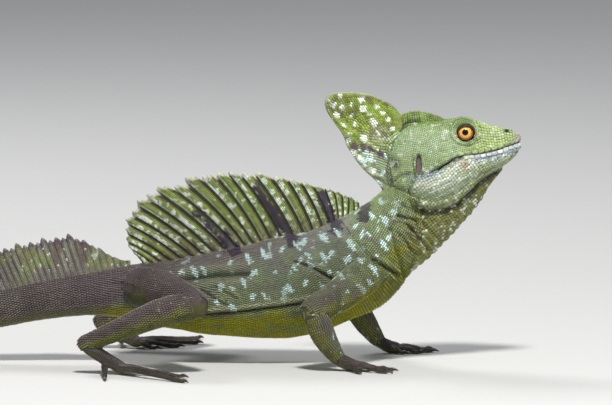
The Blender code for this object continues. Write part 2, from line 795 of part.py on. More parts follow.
def make_trunk():
    """Throat, neck, torso and the lengths of the tail."""
    last = len(SPINE) - 1
    cuts = (0.0, NECK_CUT, TORSO_CUT, *TAIL_CUTS, last)
    names = ["neck", "torso"] + [f"tail_{number}" for number in range(1, len(TAIL_CUTS) + 2)]
    made = {"throat": carve(throat_shape("throat"), head_shape("skull", grow=GAP))}
    for name, start, end in zip(names, cuts, cuts[1:]):
        sides = TAIL_SIDES if name.startswith("tail") else BODY_SIDES
        if start:
            reach = Vector(spline(SPINE, start + 0.1)[:3]) - Vector(spline(SPINE, start)[:3])
            start += 0.1 * GAP / reach.length
        made[name] = spine_loft(name, start, end, sides)
    carve(made["neck"], head_shape("skull", grow=GAP), throat_shape("gullet", grow=GAP))
    carve(made["torso"], throat_shape("gullet", grow=GAP))
    return made


def make_fins():
    """The two lobes on the head, the sail on the back and the fin on the tail."""
    main = lobe_fin("crest_head_main", MAIN_CREST_ROOT, MAIN_CREST_EDGE, 19, 5, 2.3, 0.5)
    carve(main, head_shape("skull", grow=GAP), spine_loft("nape", 0.0, NECK_CUT, BODY_SIDES, grow=GAP))
    front = lobe_fin("crest_head_front", FRONT_CREST_ROOT, FRONT_CREST_EDGE, 11, 2, 1.5, 0.5)
    carve(front, head_shape("skull", grow=GAP))
    return {fin_node.name: fin_node for fin_node in (main, front, back_crest(), *tail_crests())}


def finish(nodes):
    """Colours the nodes, shades the round ones smooth and centres the model on its footprint."""
    skin = material("skin", SKIN_GREEN, 0.55)
    limb_skin = material("limb_skin", SKIN_BROWN, 0.6)
    throat = material("throat_skin", THROAT_YELLOW, 0.55)
    crest = material("crest_skin", CREST_GREEN, 0.6)
    eye = material("eye", EYE_ORANGE, 0.1)
    corners = []
    for name, node in nodes.items():
        slot = skin
        if name.startswith("eye"):
            slot = eye
        elif name.startswith("crest"):
            slot = crest
        elif name == "throat":
            slot = throat
        elif name.startswith(("forearm", "hand", "shank", "foot")):
            slot = limb_skin
        node.data.materials.clear()
        node.data.materials.append(slot)
        node.data.shade_smooth()
        node.data.set_sharp_from_angle(angle=math.radians(40))
        corners += [v.co.copy() for v in node.data.vertices]
    low = [min(c[k] for c in corners) for k in range(3)]
    high = [max(c[k] for c in corners) for k in range(3)]
    shift = Matrix.Translation((-(low[0] + high[0]) / 2, -(low[1] + high[1]) / 2, 0))
    for node in nodes.values():
        node.data.transform(shift)


def main():
    for old in list(bpy.data.objects):
        bpy.data.objects.remove(old)
    nodes = {"head": make_head()}
    nodes |= make_eyes()
    nodes |= make_trunk()
    nodes |= make_fins()
    nodes |= make_limbs()
    finish(nodes)


main()
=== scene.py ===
import math

import bmesh
import bpy
import numpy as np
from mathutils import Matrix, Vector
from mathutils.bvhtree import BVHTree


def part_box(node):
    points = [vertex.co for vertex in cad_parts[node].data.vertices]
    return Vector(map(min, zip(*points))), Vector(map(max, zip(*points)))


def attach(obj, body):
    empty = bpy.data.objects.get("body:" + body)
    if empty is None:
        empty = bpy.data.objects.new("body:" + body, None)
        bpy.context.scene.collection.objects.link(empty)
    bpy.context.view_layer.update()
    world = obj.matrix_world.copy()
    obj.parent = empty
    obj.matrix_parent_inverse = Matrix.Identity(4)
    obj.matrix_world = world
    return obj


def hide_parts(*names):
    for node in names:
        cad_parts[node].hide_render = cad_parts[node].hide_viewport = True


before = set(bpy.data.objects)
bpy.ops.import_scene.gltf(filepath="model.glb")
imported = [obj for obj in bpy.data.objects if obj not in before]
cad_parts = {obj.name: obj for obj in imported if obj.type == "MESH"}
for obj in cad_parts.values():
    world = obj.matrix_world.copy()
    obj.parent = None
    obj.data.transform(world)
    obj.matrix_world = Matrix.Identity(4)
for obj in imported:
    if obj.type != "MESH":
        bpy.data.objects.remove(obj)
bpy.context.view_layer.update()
scene = bpy.context.scene

# Everything is worked out in millimetres with the spine over y = 0, then shifted into the frame.
headLow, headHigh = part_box("head")
snoutTip = 118.15
shift = np.array((headHigh.x * 1000 - snoutTip, (headLow.y + headHigh.y) * 500, 0.0))
dice = np.random.default_rng(27)


# small helpers: curves, noise and meshes

def smoothPath(values, at):
    # a smooth curve through rows of numbers, read at station numbers
    values, at = np.asarray(values, float), np.atleast_1d(np.asarray(at, float))
    last = len(values) - 1
    i = np.clip(np.floor(at).astype(int), 0, last - 1)
    t = (at - i)[:, None]
    b, c = values[i], values[i + 1]
    a = np.where((i > 0)[:, None], values[np.maximum(i - 1, 0)], 2 * b - c)
    d = np.where((i + 2 <= last)[:, None], values[np.minimum(i + 2, last)], 2 * c - b)
    return 0.5 * (2 * b + (c - a) * t + (2 * a - 5 * b + 4 * c - d) * t**2 + (3 * b - a - 3 * c + d) * t**3)


def walkedAlong(places):
    # the distance walked to each point of a line
    return np.concatenate(([0], np.cumsum(np.linalg.norm(np.diff(places, axis=0), axis=1))))


def evenStations(values, start, end, step):
    # station numbers that lie a step apart along the curve
    fine = np.linspace(start, end, 3000)
    walked = walkedAlong(smoothPath(np.asarray(values)[:, :3], fine))
    count = max(int(walked[-1] / step), 2)
    return np.interp(np.linspace(0, walked[-1], count + 1), walked, fine)


def unit(vectors):
    return vectors / np.maximum(np.linalg.norm(vectors, axis=-1, keepdims=True), 1e-9)


def soft(low, high, value):
    t = np.clip((value - low) / (high - low), 0, 1)
    return t * t * (3 - 2 * t)


def bell(value, width):
    return np.exp(-((value / width) ** 2))


def fadedEnds(share, part):
    return soft(0, part, share) * soft(1, 1 - part, share)


def cloud(points, cell, seed=0):
    # smooth noise from 0 to 1 in cells of the given size
    p = np.asarray(points) / cell + 1000.0
    base = np.floor(p).astype(np.int64)
    f = p - base
    f = f * f * (3 - 2 * f)
    total = np.zeros(len(p))
    for corner in np.ndindex(2, 2, 2):
        x, y, z = (base + corner).T
        h = x * 73856093 ^ y * 19349663 ^ z * 83492791
        h = (h ^ (seed * 668265263 + 374761393)) & 0xFFFFFFFF
        h = ((h ^ (h >> 15)) * 2246822519) & 0xFFFFFFFF
        h = ((h ^ (h >> 13)) * 3266489917) & 0xFFFFFFFF
        value = ((h ^ (h >> 16)) & 0xFFFF) / 65535
        share = np.where(corner, f, 1 - f)
        total += share[:, 0] * share[:, 1] * share[:, 2] * value
    return total


def clouds(points, *kinds):
    # several noises about 0, each from its cell size and its seed
    return [cloud(points, cell, seed) - 0.5 for cell, seed in kinds]


def nearLine(a, b, line):
    # distance in a plane to a line of points, and how far along it (0 to 1) the nearest place is
    line = np.asarray(line, float)
    best, share = np.full(len(a), 1e9), np.zeros(len(a))
    count = len(line) - 1
    for k in range(count):
        p, q = line[k], line[k + 1]
        d = q - p
        t = np.clip(((a - p[0]) * d[0] + (b - p[1]) * d[1]) / max(d @ d, 1e-9), 0, 1)
        gap = np.hypot(a - p[0] - t * d[0], b - p[1] - t * d[1])
        closer = gap < best
        best = np.where(closer, gap, best)
        share = np.where(closer, (k + t) / count, share)
    return best, share


def heightOver(a, b, line):
    # how far b lies above a line that is read by a
    line = sorted(line)
    return b - np.interp(a, [p[0] for p in line], [p[1] for p in line])


def linked(name, data):
    made = bpy.data.objects.new(name, data)
    scene.collection.objects.link(made)
    return made


def meshOf(name, points, faces, tones=None, uvs=None):
    faces = np.asarray(faces, dtype=np.int32)
    mesh = bpy.data.meshes.new(name)
    mesh.vertices.add(len(points))
    mesh.vertices.foreach_set("co", ((np.asarray(points) + shift) * 0.001).astype(np.float32).ravel())
    mesh.loops.add(faces.size)
    mesh.loops.foreach_set("vertex_index", faces.ravel())
    mesh.polygons.add(len(faces))
    mesh.polygons.foreach_set("loop_start", np.arange(len(faces), dtype=np.int32) * faces.shape[1])
    mesh.polygons.foreach_set("use_smooth", np.ones(len(faces), bool))
    mesh.update(calc_edges=True)
    if tones is not None:
        layer = mesh.attributes.new("tone", "FLOAT_COLOR", "POINT")
        rgba = np.ones((len(points), 4), np.float32)
        rgba[:, :3] = tones
        layer.data.foreach_set("color", rgba.ravel())
    if uvs is not None:
        layer = mesh.uv_layers.new(name="OFBake")
        layer.data.foreach_set("uv", np.asarray(uvs, np.float32)[faces.ravel()].ravel())
    return mesh


def place(name, mesh, material, slotName, *nodes):
    made = linked(name, mesh)
    mesh.materials.append(material)
    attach(made, "root")
    if nodes:
        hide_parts(*nodes)


# materials

finishes = {
    # name: roughness, bump strength, bump size in metres, grain size, coat
    "skin": (0.60, 0.55, 0.0004, 2600.0, 0.0),
    "scale": (0.40, 0.25, 0.0002, 3800.0, 0.12),
    "plate": (0.40, 0.22, 0.0002, 3000.0, 0.10),
    "crest": (0.50, 0.45, 0.0003, 2400.0, 0.0),
    "eye": (0.30, 0.0, 0.0001, 900.0, 0.35),
    "claw": (0.30, 0.25, 0.0002, 1800.0, 0.2),
}


def finish(name):
    roughness, strength, distance, grain, coat = finishes[name]
    made = bpy.data.materials.new("basilisk_" + name)
    made.use_nodes = True
    nodes, link = made.node_tree.nodes, made.node_tree.links.new
    shader = nodes["Principled BSDF"]
    isEye = name == "eye"

    def add(kind, **values):
        node = nodes.new("ShaderNode" + kind)
        for socket, value in values.items():
            node.inputs[socket].default_value = value
        return node

    def spread(low, high):
        # the speckle turned into values from low to high
        node = add("MapRange", **{"From Min": 0.3, "From Max": 0.7, "To Min": low, "To Max": high})
        link(speckle.outputs["Fac"], node.inputs["Value"])
        return node.outputs["Result"]

    shader.inputs["Coat Weight"].default_value = coat
    shader.inputs["Coat Roughness"].default_value = 0.06 if isEye else 0.3
    shader.inputs["Specular IOR Level"].default_value = 0.15 if isEye else 0.4
    tone = add("Attribute")
    tone.attribute_name = "tone"
    where = add("TexCoord").outputs["Object"]
    speckle = add("TexNoise", Scale=grain * 0.35, Detail=4.0)
    link(where, speckle.inputs["Vector"])
    mix = add("Mix")
    mix.data_type, mix.blend_type = "RGBA", "MULTIPLY"
    mix.inputs["Factor"].default_value = 1.0
    link(tone.outputs["Color"], mix.inputs["A"])
    link(spread(0.97, 1.03) if isEye else spread(0.80, 1.16), mix.inputs["B"])
    link(mix.outputs["Result"], shader.inputs["Base Color"])
    if isEye:
        shader.inputs["Roughness"].default_value = roughness
        return made
    link(spread(roughness - 0.08, roughness + 0.12), shader.inputs["Roughness"])
    cells = add("TexVoronoi", Scale=grain * 0.5)
    link(where, cells.inputs["Vector"])
    bump = add("Bump", Strength=strength, Distance=distance)
    bump.invert = True
    link(cells.outputs["Distance"], bump.inputs["Height"])
    link(bump.outputs["Normal"], shader.inputs["Normal"])
    return made


materials = {name: finish(name) for name in finishes}
print("materials made")


# lines of the body, as in the solids: x, y, z, reach up, reach down, half width

spineLine = [(x, 0.0, z, up, down, half) for x, z, up, down, half in (
    (67.5, 83.5, 10.5, 13.0, 11.2), (62.8, 73.5, 12.7, 16.5, 12.3), (54.1, 61.4, 16.9, 20.4, 13.4),
    (42.3, 50.6, 20.7, 25.6, 15.6), (27.3, 43.0, 21.2, 25.6, 18.4), (9.4, 37.3, 23.3, 26.0, 20.2),
    (-9.4, 34.0, 21.9, 22.7, 20.0), (-28.2, 32.8, 19.7, 19.8, 17.8), (-47.0, 33.1, 15.7, 17.0, 15.2),
    (-65.8, 33.4, 12.6, 13.4, 11.8),
)]
for x, y, z, half in (
    (-84.6, 0.0, 32.3, 10.4), (-103.4, 0.1, 29.9, 9.6), (-122.2, 0.4, 26.2, 9.0), (-160.0, 1.8, 17.8, 8.2),
    (-200.0, 5.0, 10.2, 7.5), (-243.0, 11.0, 5.8, 6.8), (-295.0, 21.5, 5.2, 6.1), (-348.0, 31.0, 4.6, 5.4),
    (-401.0, 33.0, 4.0, 4.7), (-453.0, 23.0, 3.4, 4.0), (-503.0, 1.0, 2.8, 3.3), (-547.0, -32.0, 2.2, 2.6),
    (-581.0, -72.0, 1.6, 1.9), (-603.0, -112.0, 1.1, 1.3),
):
    spineLine.append((x, y, z, half, half, half * 0.84))
lastStation = len(spineLine) - 1

limbLines = {
    "upper_arm_right": ((48.0, 6.0, 45.5), (40.5, 19.5, 39.5), (30.5, 30.5, 33.6), (21.0, 37.5, 28.6)),
    "forearm_right": ((21.2, 37.6, 28.4), (24.0, 38.2, 19.6), (28.0, 37.6, 11.8), (31.6, 36.8, 6.6)),
    "hand_right": ((31.8, 36.8, 6.0), (36.0, 37.2, 3.7), (40.4, 37.6, 2.5)),
    "upper_arm_left": ((48.0, 6.0, 45.5), (46.0, 20.0, 39.0), (42.0, 32.0, 32.0), (37.8, 39.5, 26.6)),
    "forearm_left": ((38.0, 39.6, 26.4), (42.4, 39.4, 18.8), (47.0, 37.6, 11.6), (51.0, 35.6, 6.6)),
    "hand_left": ((51.2, 35.6, 6.0), (55.4, 35.4, 3.7), (59.8, 35.4, 2.5)),
    "thigh_right": ((-61.0, 4.0, 35.6), (-54.5, 20.0, 36.6), (-45.5, 36.0, 35.6), (-35.4, 50.0, 32.8)),
    "shank_right": ((-35.6, 50.4, 32.4), (-52.0, 52.0, 28.6), (-70.0, 50.4, 21.0), (-86.0, 47.4, 14.2)),
    "foot_right": ((-86.2, 47.4, 13.6), (-79.0, 48.6, 8.8), (-69.6, 50.4, 3.4)),
    "thigh_left": ((-61.0, 4.0, 35.6), (-52.5, 20.0, 36.2), (-42.0, 36.0, 34.6), (-31.6, 49.0, 31.4)),
    "shank_left": ((-31.8, 49.4, 31.0), (-47.6, 52.6, 26.6), (-64.8, 53.4, 19.4), (-80.2, 52.2, 13.4)),
    "foot_left": ((-80.4, 52.2, 12.8), (-73.2, 53.6, 8.4), (-63.8, 55.4, 3.4)),
}
# digits, first to fifth: length, turn outwards in degrees, and how far back along the palm they start
fingers = ((8.5, -42.0, 2.6), (13.0, -16.0, 0.6), (17.0, 6.0, 0.0), (18.0, 29.0, 0.8), (12.0, 62.0, 3.0))
toes = ((13.0, -30.0, 3.4), (21.0, -5.0, 1.0), (33.0, 17.0, 0.0), (46.0, 37.0, 0.8), (25.0, 78.0, 7.0))
# a claw's length and colour, and its line: share of that length, lift and radius
clawLength, clawTone = 3.3, (0.055, 0.042, 0.032)
clawMarks = (
    (-0.16, 0.12, 0.86), (0.12, 0.40, 0.80), (0.5, 0.30, 0.56), (0.8, 0.0, 0.34), (1.04, -0.40, 0.10),
)


def sideOf(name):
    return 1 if name.endswith("left") else -1


def digitLines(name):
    # each digit as a line of x, y, z and radius from its root to its tip, then its claw's line
    side = sideOf(name)
    line = np.array(limbLines[name]) * (1, side, 1)
    digits, thick, thin = (fingers, 1.75, 1.15) if name.startswith("hand") else (toes, 1.9, 1.15)
    forward = unit((line[-1] - line[-2]) * (1, 1, 0))
    lead = math.atan2(forward[1] * side, forward[0])
    across = np.array((-forward[1], forward[0], 0)) * side
    found = []
    for order, (length, turn, back) in enumerate(digits):
        base = line[-1] + across * (order - 2) * 1.05 - forward * back
        baseZ = line[-1][2] + back * 0.12
        heading = lead + math.radians(turn)
        ahead = np.array((math.cos(heading), side * math.sin(heading)))
        start, rest = max(baseZ, thick) - 0.2, thin * 0.84

        def mark(share, lift, radius):
            height = start + (rest - start) * share**0.8 + lift
            return (*(base[:2] + ahead * (length * share)), height, radius)

        toe = [mark(*row) for row in ((0, 0, thick), (0.28, 0.9, thick * 0.94), (0.58, 0.35, thin * 1.14),
                                      (0.84, -0.1, thin * 1.06), (1, -0.05, thin * 0.9))]
        claw = [(*(base[:2] + ahead * (length + clawLength * share)), rest + lift, radius)
                for share, lift, radius in clawMarks]
        found.append((toe, claw))
    return found


spineFine = np.linspace(0, lastStation, 900)
spineRows = smoothPath(spineLine, spineFine)


def spineFrame(at):
    centre = smoothPath(spineLine, at)
    ahead = smoothPath(spineLine, np.minimum(at + 0.02, lastStation))[:, :3]
    behind = smoothPath(spineLine, np.maximum(at - 0.02, 0))[:, :3]
    forward = unit(ahead - behind)
    side = unit(np.cross((0, 0, 1), forward))
    return centre, forward, side, np.cross(forward, side)


def spinePlace(points):
    # nearest station, how far up the body (-1 belly to 1 back), and the distance walked in millimetres
    points = np.asarray(points)
    best, station = np.full(len(points), 1e12), np.zeros(len(points))
    for k in range(0, len(spineFine), 6):
        gap = ((points - spineRows[k, :3]) ** 2).sum(1)
        closer = gap < best
        best[closer], station[closer] = gap[closer], spineFine[k]
    centre, *_, above = spineFrame(station)
    rise = ((points - centre[:, :3]) * above).sum(1)
    rise = rise / np.where(rise > 0, centre[:, 3], centre[:, 4])
    return station, rise, np.interp(station, spineFine, walkedAlong(spineRows[:, :3]))


# the two lobes of the head crest, which the skin runs into

def inPlane(pairs):
    pairs = np.asarray(pairs, float)
    return np.stack((pairs[:, 0], np.zeros(len(pairs)), pairs[:, 1]), 1)


def lineThrough(pairs):
    # a smooth line through points, read from 0 to 1 by its length
    pairs = np.asarray(pairs, float)
    places = smoothPath(pairs, np.linspace(0, len(pairs) - 1, 900))
    walked = walkedAlong(places)
    return lambda share: np.stack([np.interp(share * walked[-1], walked, column) for column in places.T], 1)


def gridOf(uRange, uCount, vRange, rows):
    grids = np.meshgrid(np.linspace(*uRange, uCount), np.linspace(*vRange, rows), indexing="ij")
    return [grid.ravel() for grid in grids]


def between(roots, edges, u, v):
    # the middle of a sheet between its root line and its edge line
    start = roots(u)
    return start + (edges(u, v) - start) * v[:, None]


def rounded(v, start, least):
    # how thick a rim is that rounds off from start to the edge
    return np.sqrt(np.clip(1 - np.clip((v - start) / (1 - start), 0, 1) ** 2, least, 1))


def level(u):
    return np.repeat(np.array(((0.0, 1.0, 0.0),)), len(u), 0)


lobeValues = {
    "main": {
        "edge": (
            (62.2, 115.6), (57.4, 121.2), (52.2, 124.2), (45.0, 126.8), (35.0, 127.6), (28.3, 126.5),
            (25.9, 122.8), (26.9, 118.4), (29.6, 114.2), (32.4, 110.4), (34.8, 106.4), (36.2, 102.4),
            (38.4, 98.6), (41.2, 94.6), (44.4, 91.0), (50.6, 85.2), (54.6, 79.0),
        ),
        "root": ((63.0, 107.0), (65.0, 98.0), (64.0, 86.0), (61.5, 77.0)),
        "thick": 3.4, "thin": 0.55, "nodes": ("crest_head_main",), "count": 150, "rows": 70,
        "wedge": 8.2, "reach": 0.62, "sharp": 1.9,
    },
    "front": {
        "edge": (
            (61.6, 112.0), (61.6, 116.2), (65.2, 118.0), (70.6, 118.4), (75.0, 117.4), (79.6, 115.7),
            (83.8, 113.4),
        ),
        "root": ((62.6, 107.0), (83.0, 109.5)),
        "thick": 2.2, "thin": 0.5, "nodes": ("crest_head_front",), "count": 70, "rows": 30,
        "wedge": 5.6, "reach": 0.9, "sharp": 1.5,
    },
}
crestWhite = (
    (27.6, 123.8), (30.0, 121.4), (33.7, 120.3), (38.1, 116.2), (43.1, 124.1), (43.8, 119.6), (50.1, 120.5),
    (47.0, 117.1), (48.7, 113.3), (55.5, 114.5), (37.7, 108.4), (44.0, 105.9), (36.6, 104.0), (33.0, 125.6),
    (38.4, 121.8), (53.6, 117.4), (57.6, 110.0), (50.8, 108.6), (40.2, 112.4), (39.4, 99.2), (42.6, 96.6),
    (45.4, 93.0), (48.8, 90.4), (47.6, 97.0), (34.8, 112.0), (31.2, 117.0), (60.0, 104.6), (68.0, 115.6),
    (73.0, 115.0), (78.0, 113.4),
)
crestPurple = ((39.9, 102.0), (44.0, 101.6), (47.2, 100.7), (52.2, 98.4))


def lobeParts(lobeName):
    # the root line, the edge line and the half thickness of one lobe
    values = lobeValues[lobeName]
    rootLine, edgeLine = lineThrough(values["root"]), lineThrough(values["edge"])

    def half(u, v, middle):
        body = values["thin"] + (values["thick"] - values["thin"]) * (1 - v) ** 2.4
        ripple = 0.32 * (cloud(middle, 4.2, 61) - 0.5)
        ripple = ripple + 0.14 * np.sin(u * 60 + 3 * cloud(middle, 6, 62)) * soft(0.2, 0.6, v)
        ends = soft(-0.02, 0.03, u) * soft(1.02, 0.97, u)
        return (body + ripple * soft(0, 0.3, v)) * rounded(v, 0.93, 0.02) * ends + 0.05

    return lambda u: inPlane(rootLine(u)), lambda u, v: inPlane(edgeLine(u)), half


def lobeFillet(lobeName):
    # a thick wedge along a lobe's root, which lets the skin run smoothly from the head into the lobe
    values = lobeValues[lobeName]
    roots, edges, _ = lobeParts(lobeName)
    uCount, rows = 60, 26
    u, v = gridOf((0.01, 0.985), uCount, (0, values["reach"]), rows)
    middle = between(roots, edges, u, v)
    wedge = values["wedge"] * np.clip(1 - v / values["reach"], 0, 1) ** values["sharp"]
    outward = level(u) * (0.15 + wedge * soft(0, 0.05, u) * soft(1, 0.95, u))[:, None]
    return np.concatenate((middle + outward, middle - outward)), gridFaces(uCount, rows)


def gridFaces(uCount, rows):
    # the faces of a closed sheet made of two grids, one for each side
    count = uCount * rows
    i, j = np.meshgrid(np.arange(uCount - 1), np.arange(rows - 1), indexing="ij")
    a = (i * rows + j).ravel()
    b, c, d = a + rows, a + rows + 1, a + 1
    faces = [np.stack((a, b, c, d), 1), np.stack((a, d, c, b), 1) + count]
    for j, order in ((0, (0, 3, 2, 1)), (rows - 1, (0, 1, 2, 3))):
        k = np.arange(uCount - 1) * rows + j
        faces.append(np.stack((k, k + count, k + rows + count, k + rows), 1)[:, order])
    for i, order in ((0, (0, 3, 2, 1)), (uCount - 1, (0, 1, 2, 3))):
        k = i * rows + np.arange(rows - 1)
        faces.append(np.stack((k, k + count, k + 1 + count, k + 1), 1)[:, order])
    return np.concatenate(faces)


# one skin over all the flesh

fleshNodes = ["head", "throat", "neck", "torso", *(f"tail_{number}" for number in range(1, 7)), *limbLines]
skinValues = {"grow": 0.24, "voxel": 0.72, "smoothing": 26, "inset": 0.30, "insetDigits": 0.16}


def readOut(items, key, width, kind=np.int32):
    found = np.empty(len(items) * width, kind)
    items.foreach_get(key, found)
    return found.reshape(-1, width)


def joinedFlesh():
    # all flesh nodes, each grown a little so that the gaps between them close, and the lobes' wedges
    points, faces, owners = [], [], []

    def add(co, triangles):
        faces.append(triangles + sum(len(done) for done in points))
        owners.append(np.full(len(triangles), len(points)))
        points.append(co)

    for node in fleshNodes:
        work = bmesh.new()
        work.from_mesh(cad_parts[node].data)
        bmesh.ops.remove_doubles(work, verts=work.verts, dist=2e-6)
        bmesh.ops.triangulate(work, faces=work.faces)
        work.normal_update()
        co = np.array([v.co for v in work.verts]) * 1000 - shift
        co += np.array([v.normal for v in work.verts]) * skinValues["grow"]
        add(co, np.array([[v.index for v in f.verts] for f in work.faces]))
        work.free()
    for lobe in lobeValues:
        co, quads = lobeFillet(lobe)
        add(co, np.concatenate((quads[:, :3], quads[:, [0, 2, 3]])))
    return np.concatenate(points), np.concatenate(faces), np.concatenate(owners)


def around(values, edges):
    # the mean of each point's neighbours
    a, b = edges.T
    count = len(values)
    degree = np.bincount(a, minlength=count) + np.bincount(b, minlength=count)
    return (np.bincount(a, values[b], count) + np.bincount(b, values[a], count)) / degree


def relax(points, edges, rounds, amount=0.5, back=-0.52):
    # evens a surface out without letting it shrink
    for step in range(rounds * 2):
        mean = np.stack([around(column, edges) for column in points.T], 1)
        points = points + (mean - points) * (amount if step % 2 == 0 else back)
    return points


def vertexNormals(points, faces):
    a, b, c = points[faces[:, 0]], points[faces[:, 1]], points[faces[:, 2]]
    n = np.cross(b - a, c - a)
    total = np.zeros_like(points)
    for k in range(3):
        for axis in range(3):
            total[:, axis] += np.bincount(faces[:, k], n[:, axis], len(points))
    return unit(total)


def within(region, *starts):
    # true for the regions of the flesh nodes whose names start so
    return np.isin(region, [regionOf[name] for name in fleshNodes if name.startswith(starts)])


rawPoints, rawFaces, rawOwners = joinedFlesh()
rawTree = BVHTree.FromPolygons(rawPoints.tolist(), rawFaces.tolist())
rawObject = linked("flesh", meshOf("flesh", rawPoints, rawFaces))
remesh = rawObject.modifiers.new("remesh", "REMESH")
remesh.mode = "VOXEL"
remesh.voxel_size = skinValues["voxel"] * 0.001
skinRaw = bpy.data.meshes.new_from_object(rawObject.evaluated_get(bpy.context.evaluated_depsgraph_get()))
bpy.data.objects.remove(rawObject)
skinRaw.calc_loop_triangles()
skinPoints = readOut(skinRaw.vertices, "co", 3, np.float32).astype(float) * 1000 - shift
skinFaces = readOut(skinRaw.loop_triangles, "vertices", 3)
skinEdges = readOut(skinRaw.edges, "vertices", 2)
skinRegion = np.array([rawOwners[rawTree.find_nearest(p)[2]] for p in skinPoints.tolist()])
regionOf = {name: index for index, name in enumerate((*fleshNodes, *lobeValues))}
print("skin remeshed", len(skinPoints), "points")

isDigit, isHead = within(skinRegion, "hand", "foot"), within(skinRegion, "head")
isLobe = skinRegion >= len(fleshNodes)
smoothed = relax(skinPoints, skinEdges, skinValues["smoothing"])
lightly = relax(skinPoints, skinEdges, 3)
weight = np.where(isDigit, 0.0, np.where(isHead, 0.35, 1.0)).astype(float)
weight[isLobe] = 0.8
for _ in range(12):
    weight = around(weight, skinEdges)
skinPoints = lightly + (smoothed - lightly) * weight[:, None]
# the valley where the lobes leave the head is filled
spanX, spanZ = skinPoints[:, 0], skinPoints[:, 2]
join = soft(49.5, 53.0, spanX) * soft(61.5, 58.0, spanX) * soft(81, 86, spanZ) * soft(115, 112, spanZ)
skinPoints = skinPoints + (relax(skinPoints, skinEdges, 30, 0.5, 0.5) - skinPoints) * join[:, None]
skinNormals = vertexNormals(skinPoints, skinFaces)
inset = skinValues["grow"] + np.where(isDigit, skinValues["insetDigits"], skinValues["inset"])
skinPoints = skinPoints - skinNormals * inset[:, None]


# where the marks of the head and flank lie, seen from the side: x and height in millimetres

marks = {
    "mouth": (
        (117.7, 103.6), (115.2, 102.6), (111.4, 101.3), (107.2, 99.8), (103.1, 98.8), (98.9, 97.9),
        (94.7, 97.5), (90.5, 96.9), (87.1, 95.9), (84.6, 94.2), (81.3, 91.9), (79.1, 90.0),
    ),
    "lipFold": ((118.2, 99.6), (107.2, 96.9), (101.0, 95.6), (96.8, 95.2)),
    "cornerFold": ((90.2, 95.9), (82.7, 92.6), (78.0, 90.2), (74.7, 88.4)),
    "jowlEdge": (
        (117.5, 98.2), (111.4, 92.1), (105.3, 89.8), (98.7, 85.8), (94.5, 81.3), (88.4, 75.7), (82.2, 72.8),
        (73.8, 72.1), (66.7, 73.8),
    ),
    "jowlRear": ((71.5, 88.2), (67.6, 85.0), (65.4, 80.6), (65.2, 76.4), (67.2, 73.2), (71.5, 71.6)),
    "darkArc": ((61.6, 108.6), (62.8, 111.2), (65.8, 113.4), (70.2, 113.9)),
    "pocket": ((53.3, 95.9), (55.9, 94.5), (58.8, 92.6)),
    "flankFold": ((-42.0, 23.4), (-32.9, 22.7), (-13.2, 24.4), (6.6, 27.0), (19.7, 29.3), (30.0, 31.0)),
    "cheekFold": ((79.1, 89.0), (74.0, 86.5), (69.0, 86.0), (64.0, 87.5)),
    "gularFold": ((63.4, 38.2), (61.6, 46.0), (58.5, 54.0), (56.8, 62.0)),
}
creases = (
    # folds of slack skin: the line, its depth in millimetres and its width
    (((55.9, 68.6), (62.0, 68.4), (68.4, 66.7), (70.4, 59.5)), 0.8, 0.8),
    (((63.5, 66.0), (67.1, 62.0), (71.0, 56.9), (74.9, 51.7)), 0.9, 0.9),
    (((58.0, 62.5), (63.5, 57.5), (68.0, 50.0)), 0.6, 0.8),
    (((46.9, 49.0), (52.6, 45.7), (61.9, 40.0)), 1.6, 1.0),
    (((9.6, 48.1), (19.9, 44.5), (33.0, 37.1)), 1.2, 1.0),
    (((-46.0, 37.6), (-36.0, 39.2), (-26.9, 40.4), (-15.0, 41.2), (-5.4, 41.2)), 1.9, 1.9),
    (((-76.0, 37.0), (-68.0, 36.8), (-60.0, 35.0)), 0.8, 1.2),
    (((-32.9, 35.0), (-26.9, 30.6), (-19.7, 26.3)), 0.6, 0.8),
    (((-26.9, 36.4), (-20.0, 32.5), (-13.8, 29.1)), 0.5, 0.8),
    (((62.5, 76.0), (60.5, 70.5), (60.8, 65.0)), 0.6, 0.9),
    (((70.5, 86.5), (66.0, 88.5), (60.5, 87.0), (57.0, 83.0)), 0.6, 0.9),
    (((69.2, 104.0), (66.5, 98.5), (66.8, 91.0), (69.5, 86.5)), 0.45, 0.8),
)
eyeSpot, nostrilSpot, earSpot = (92.0, 108.2), (111.4, 108.7), (70.0, 92.4)
viewTilt = (0.9945, 0.1045)  # cosine and sine of the 6 degrees from which the marks are seen
eyeStretch, earHalf = 1.13, (1.5, 4.9)


def sidePlane(points):
    # a point's place as seen level from the side, a little from above, the same on both sides
    return points[:, 0], viewTilt[0] * points[:, 2] - viewTilt[1] * np.abs(points[:, 1])


def jowlBehind(a, b):
    # above 0 behind the jowl's rear crease, below 0 in front of it
    rear = np.interp(b, (70, 73.2, 76.4, 80.6, 85.0, 88.2, 92), (71.5, 67.2, 65.2, 65.4, 67.6, 71.5, 72.0))
    return rear - a


def faceGaps(a, b):
    # how far off the eye and the nostril are in millimetres, and the ear in parts of its opening
    eye = np.hypot((a - eyeSpot[0]) / eyeStretch, b - eyeSpot[1])
    nostril = np.hypot(a - nostrilSpot[0], b - nostrilSpot[1])
    return eye, nostril, np.hypot((a - earSpot[0]) / earHalf[0], (b - earSpot[1]) / earHalf[1])


def nearMarks(a, b):
    # for every mark, how far off it is and how far along it the nearest place lies
    found = {name: nearLine(a, b, line) for name, line in marks.items()}
    return ({name: pair[order] for name, pair in found.items()} for order in (0, 1))


